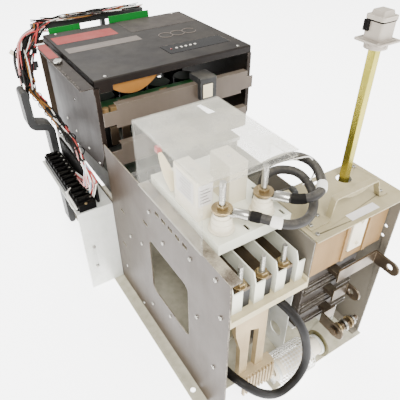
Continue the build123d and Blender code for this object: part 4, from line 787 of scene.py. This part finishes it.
# fasteners on the strap of pole one, with a spacer and its washers
bolt = {"x": 249, "y": -20, "z": 140}
turned("strapBolt", at(bolt["x"] - 6, bolt["y"], bolt["z"]), Vector((1, 0, 0)),
       [(0, 5.9), (62, 5.9), (64, 4.6)], "boltSteel")
for i, (dx, radius) in enumerate([
    (-9.5, 9.5), (4.5, 12), (12, 10), (19, 12.5), (26, 10.5), (34, 12.5), (42, 10),
]):
    start = at(bolt["x"] + dx, bolt["y"], bolt["z"])
    look = ["boltSteel", "brass", "boltSteel", "brightSteel", "boltSteel", "brass", "brightSteel"][i]
    turned("strapWasher%d" % i, start, Vector((1, 0, 0)), [(0, radius), (4.2, radius), (4.8, radius - 1)],
           look, count=6 if i in (0, 4) else 32)
print("small parts placed")

# tie round the two upper cables, and a small coupler on a thin lead
tie = [(196, 116, 478), (209, 100, 488), (224, 96, 487), (226, 84, 470), (214, 78, 452), (204, 86, 444)]
strand("cableTie", [at(*p) for p in tie], 1.3, "whitePlastic")
lead = [(150, 112, 425), (176, 104, 432), (190, 92, 440), (186, 74, 440), (172, 64, 434)]
strand("couplerLead", [at(*p) for p in lead], 1.8, "cableGrey")
turned("coupler", at(190, 96, 436), Vector((-0.4, -0.8, 0.3)),
       [(0, 4), (3, 5.6), (14, 5.6), (16, 4.6), (24, 4.4)], "greyPlastic")

# round perforated guard over the resistor, made from a grid with a hole in each field
guard = {"x": (144, 216), "y": 15, "z": 46, "radius": 34, "around": 30, "along": 10}
low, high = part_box("perforated_guard")
guard["x"] = (low[0] / mm + 193, high[0] / mm + 193)
bm = bmesh.new()
rings = []
for i in range(guard["along"] + 1):
    x = guard["x"][0] + (guard["x"][1] - guard["x"][0]) * i / guard["along"]
    ring = []
    for step in range(guard["around"]):
        angle = 2 * math.pi * step / guard["around"]
        ring.append(bm.verts.new(at(x, guard["y"] + guard["radius"] * math.cos(angle),
                                    guard["z"] + guard["radius"] * math.sin(angle))))
    rings.append(ring)
for a, b in zip(rings, rings[1:]):
    for i in range(guard["around"]):
        bm.faces.new((a[i], a[(i + 1) % guard["around"]], b[(i + 1) % guard["around"]], b[i]))
fields = bm.faces[:]
bmesh.ops.inset_individual(bm, faces=fields, thickness=1.7 * mm, use_even_offset=True)
bmesh.ops.delete(bm, geom=fields, context="FACES_ONLY")
bmesh.ops.recalc_face_normals(bm, faces=bm.faces)
mesh = meshFrom("ventedGuard", bm)
smooth = mesh.modifiers.new("smooth", "SUBSURF")
smooth.levels = smooth.render_levels = 1
thick = mesh.modifiers.new("thick", "SOLIDIFY")
thick.thickness = 1.2 * mm
thick.offset = 0
for face in mesh.data.polygons:
    face.use_smooth = True
place(mesh, "chassis", "guardSteel", "bright_steel")
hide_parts("perforated_guard")
print("guard made")

# dark clamp plate at the tube's far end
ringOutline = []
for step in range(28):
    angle = 2 * math.pi * step / 28
    ringOutline.append(at(256, 15 + 30 * math.cos(angle), 46 + 30 * math.sin(angle)))
sheetFrom("tubeEndPlate", ringOutline, 2.5, Vector((1, 0, 0)), 0.4, "ringMetal")

# studio: pale floor, even light
sceneData = bpy.context.scene
floorMesh = bpy.data.meshes.new("floor")
floorMesh.from_pydata([(-6, -6, 0), (6, -6, 0), (6, 6, 0), (-6, 6, 0)], [], [(0, 1, 2, 3)])
floor = bpy.data.objects.new("floor", floorMesh)
sceneData.collection.objects.link(floor)
floorLook = bpy.data.materials.new("floorLook")
floorLook.use_nodes = True
floorShader = floorLook.node_tree.nodes["Principled BSDF"]
floorShader.inputs["Base Color"].default_value = (0.92, 0.92, 0.92, 1)
floorShader.inputs["Roughness"].default_value = 0.9
floorShader.inputs["Emission Color"].default_value = (1, 1, 1, 1)
floorShader.inputs["Emission Strength"].default_value = 4.0
floorMesh.materials.append(floorLook)

world = bpy.data.worlds.new("world")
sceneData.world = world
world.use_nodes = True
world.node_tree.nodes["Background"].inputs["Color"].default_value = (1, 0.985, 0.96, 1)
world.node_tree.nodes["Background"].inputs["Strength"].default_value = 1.25

lamps = {
    "keyLamp": {"at": (-0.9, -2.2, 2.9), "size": 1.2, "power": 190},
    "fillLamp": {"at": (2.2, -1.4, 1.6), "size": 1.6, "power": 46},
    "backLamp": {"at": (0.3, 2.0, 2.6), "size": 1.4, "power": 80},
}
for name, setup in lamps.items():
    light = bpy.data.lights.new(name, "AREA")
    light.energy = setup["power"]
    light.size = setup["size"]
    lamp = bpy.data.objects.new(name, light)
    lamp.location = setup["at"]
    aim = Vector((0, -0.1, 0.3)) - Vector(setup["at"])
    lamp.rotation_euler = aim.to_track_quat("-Z", "Y").to_euler()
    sceneData.collection.objects.link(lamp)

view = {
    "place": (-0.448286, -0.755231, 0.876073),
    "right": (0.8449834, -0.53478263, -0.00325395),
    "down": (-0.33170768, -0.51932269, -0.78757473),
    "ahead": (0.41949144, 0.66656693, -0.61621056),
    "lens": 39.93,
}
camData = bpy.data.cameras.new("camera")
camData.lens = view["lens"]
camData.sensor_width = 36
camData.clip_start = 0.05
camera = bpy.data.objects.new("camera", camData)
turn = Matrix([view["right"], [-v for v in view["down"]], [-v for v in view["ahead"]]]).transposed()
camera.matrix_world = Matrix.Translation(view["place"]) @ turn.to_4x4()
sceneData.collection.objects.link(camera)
sceneData.camera = camera
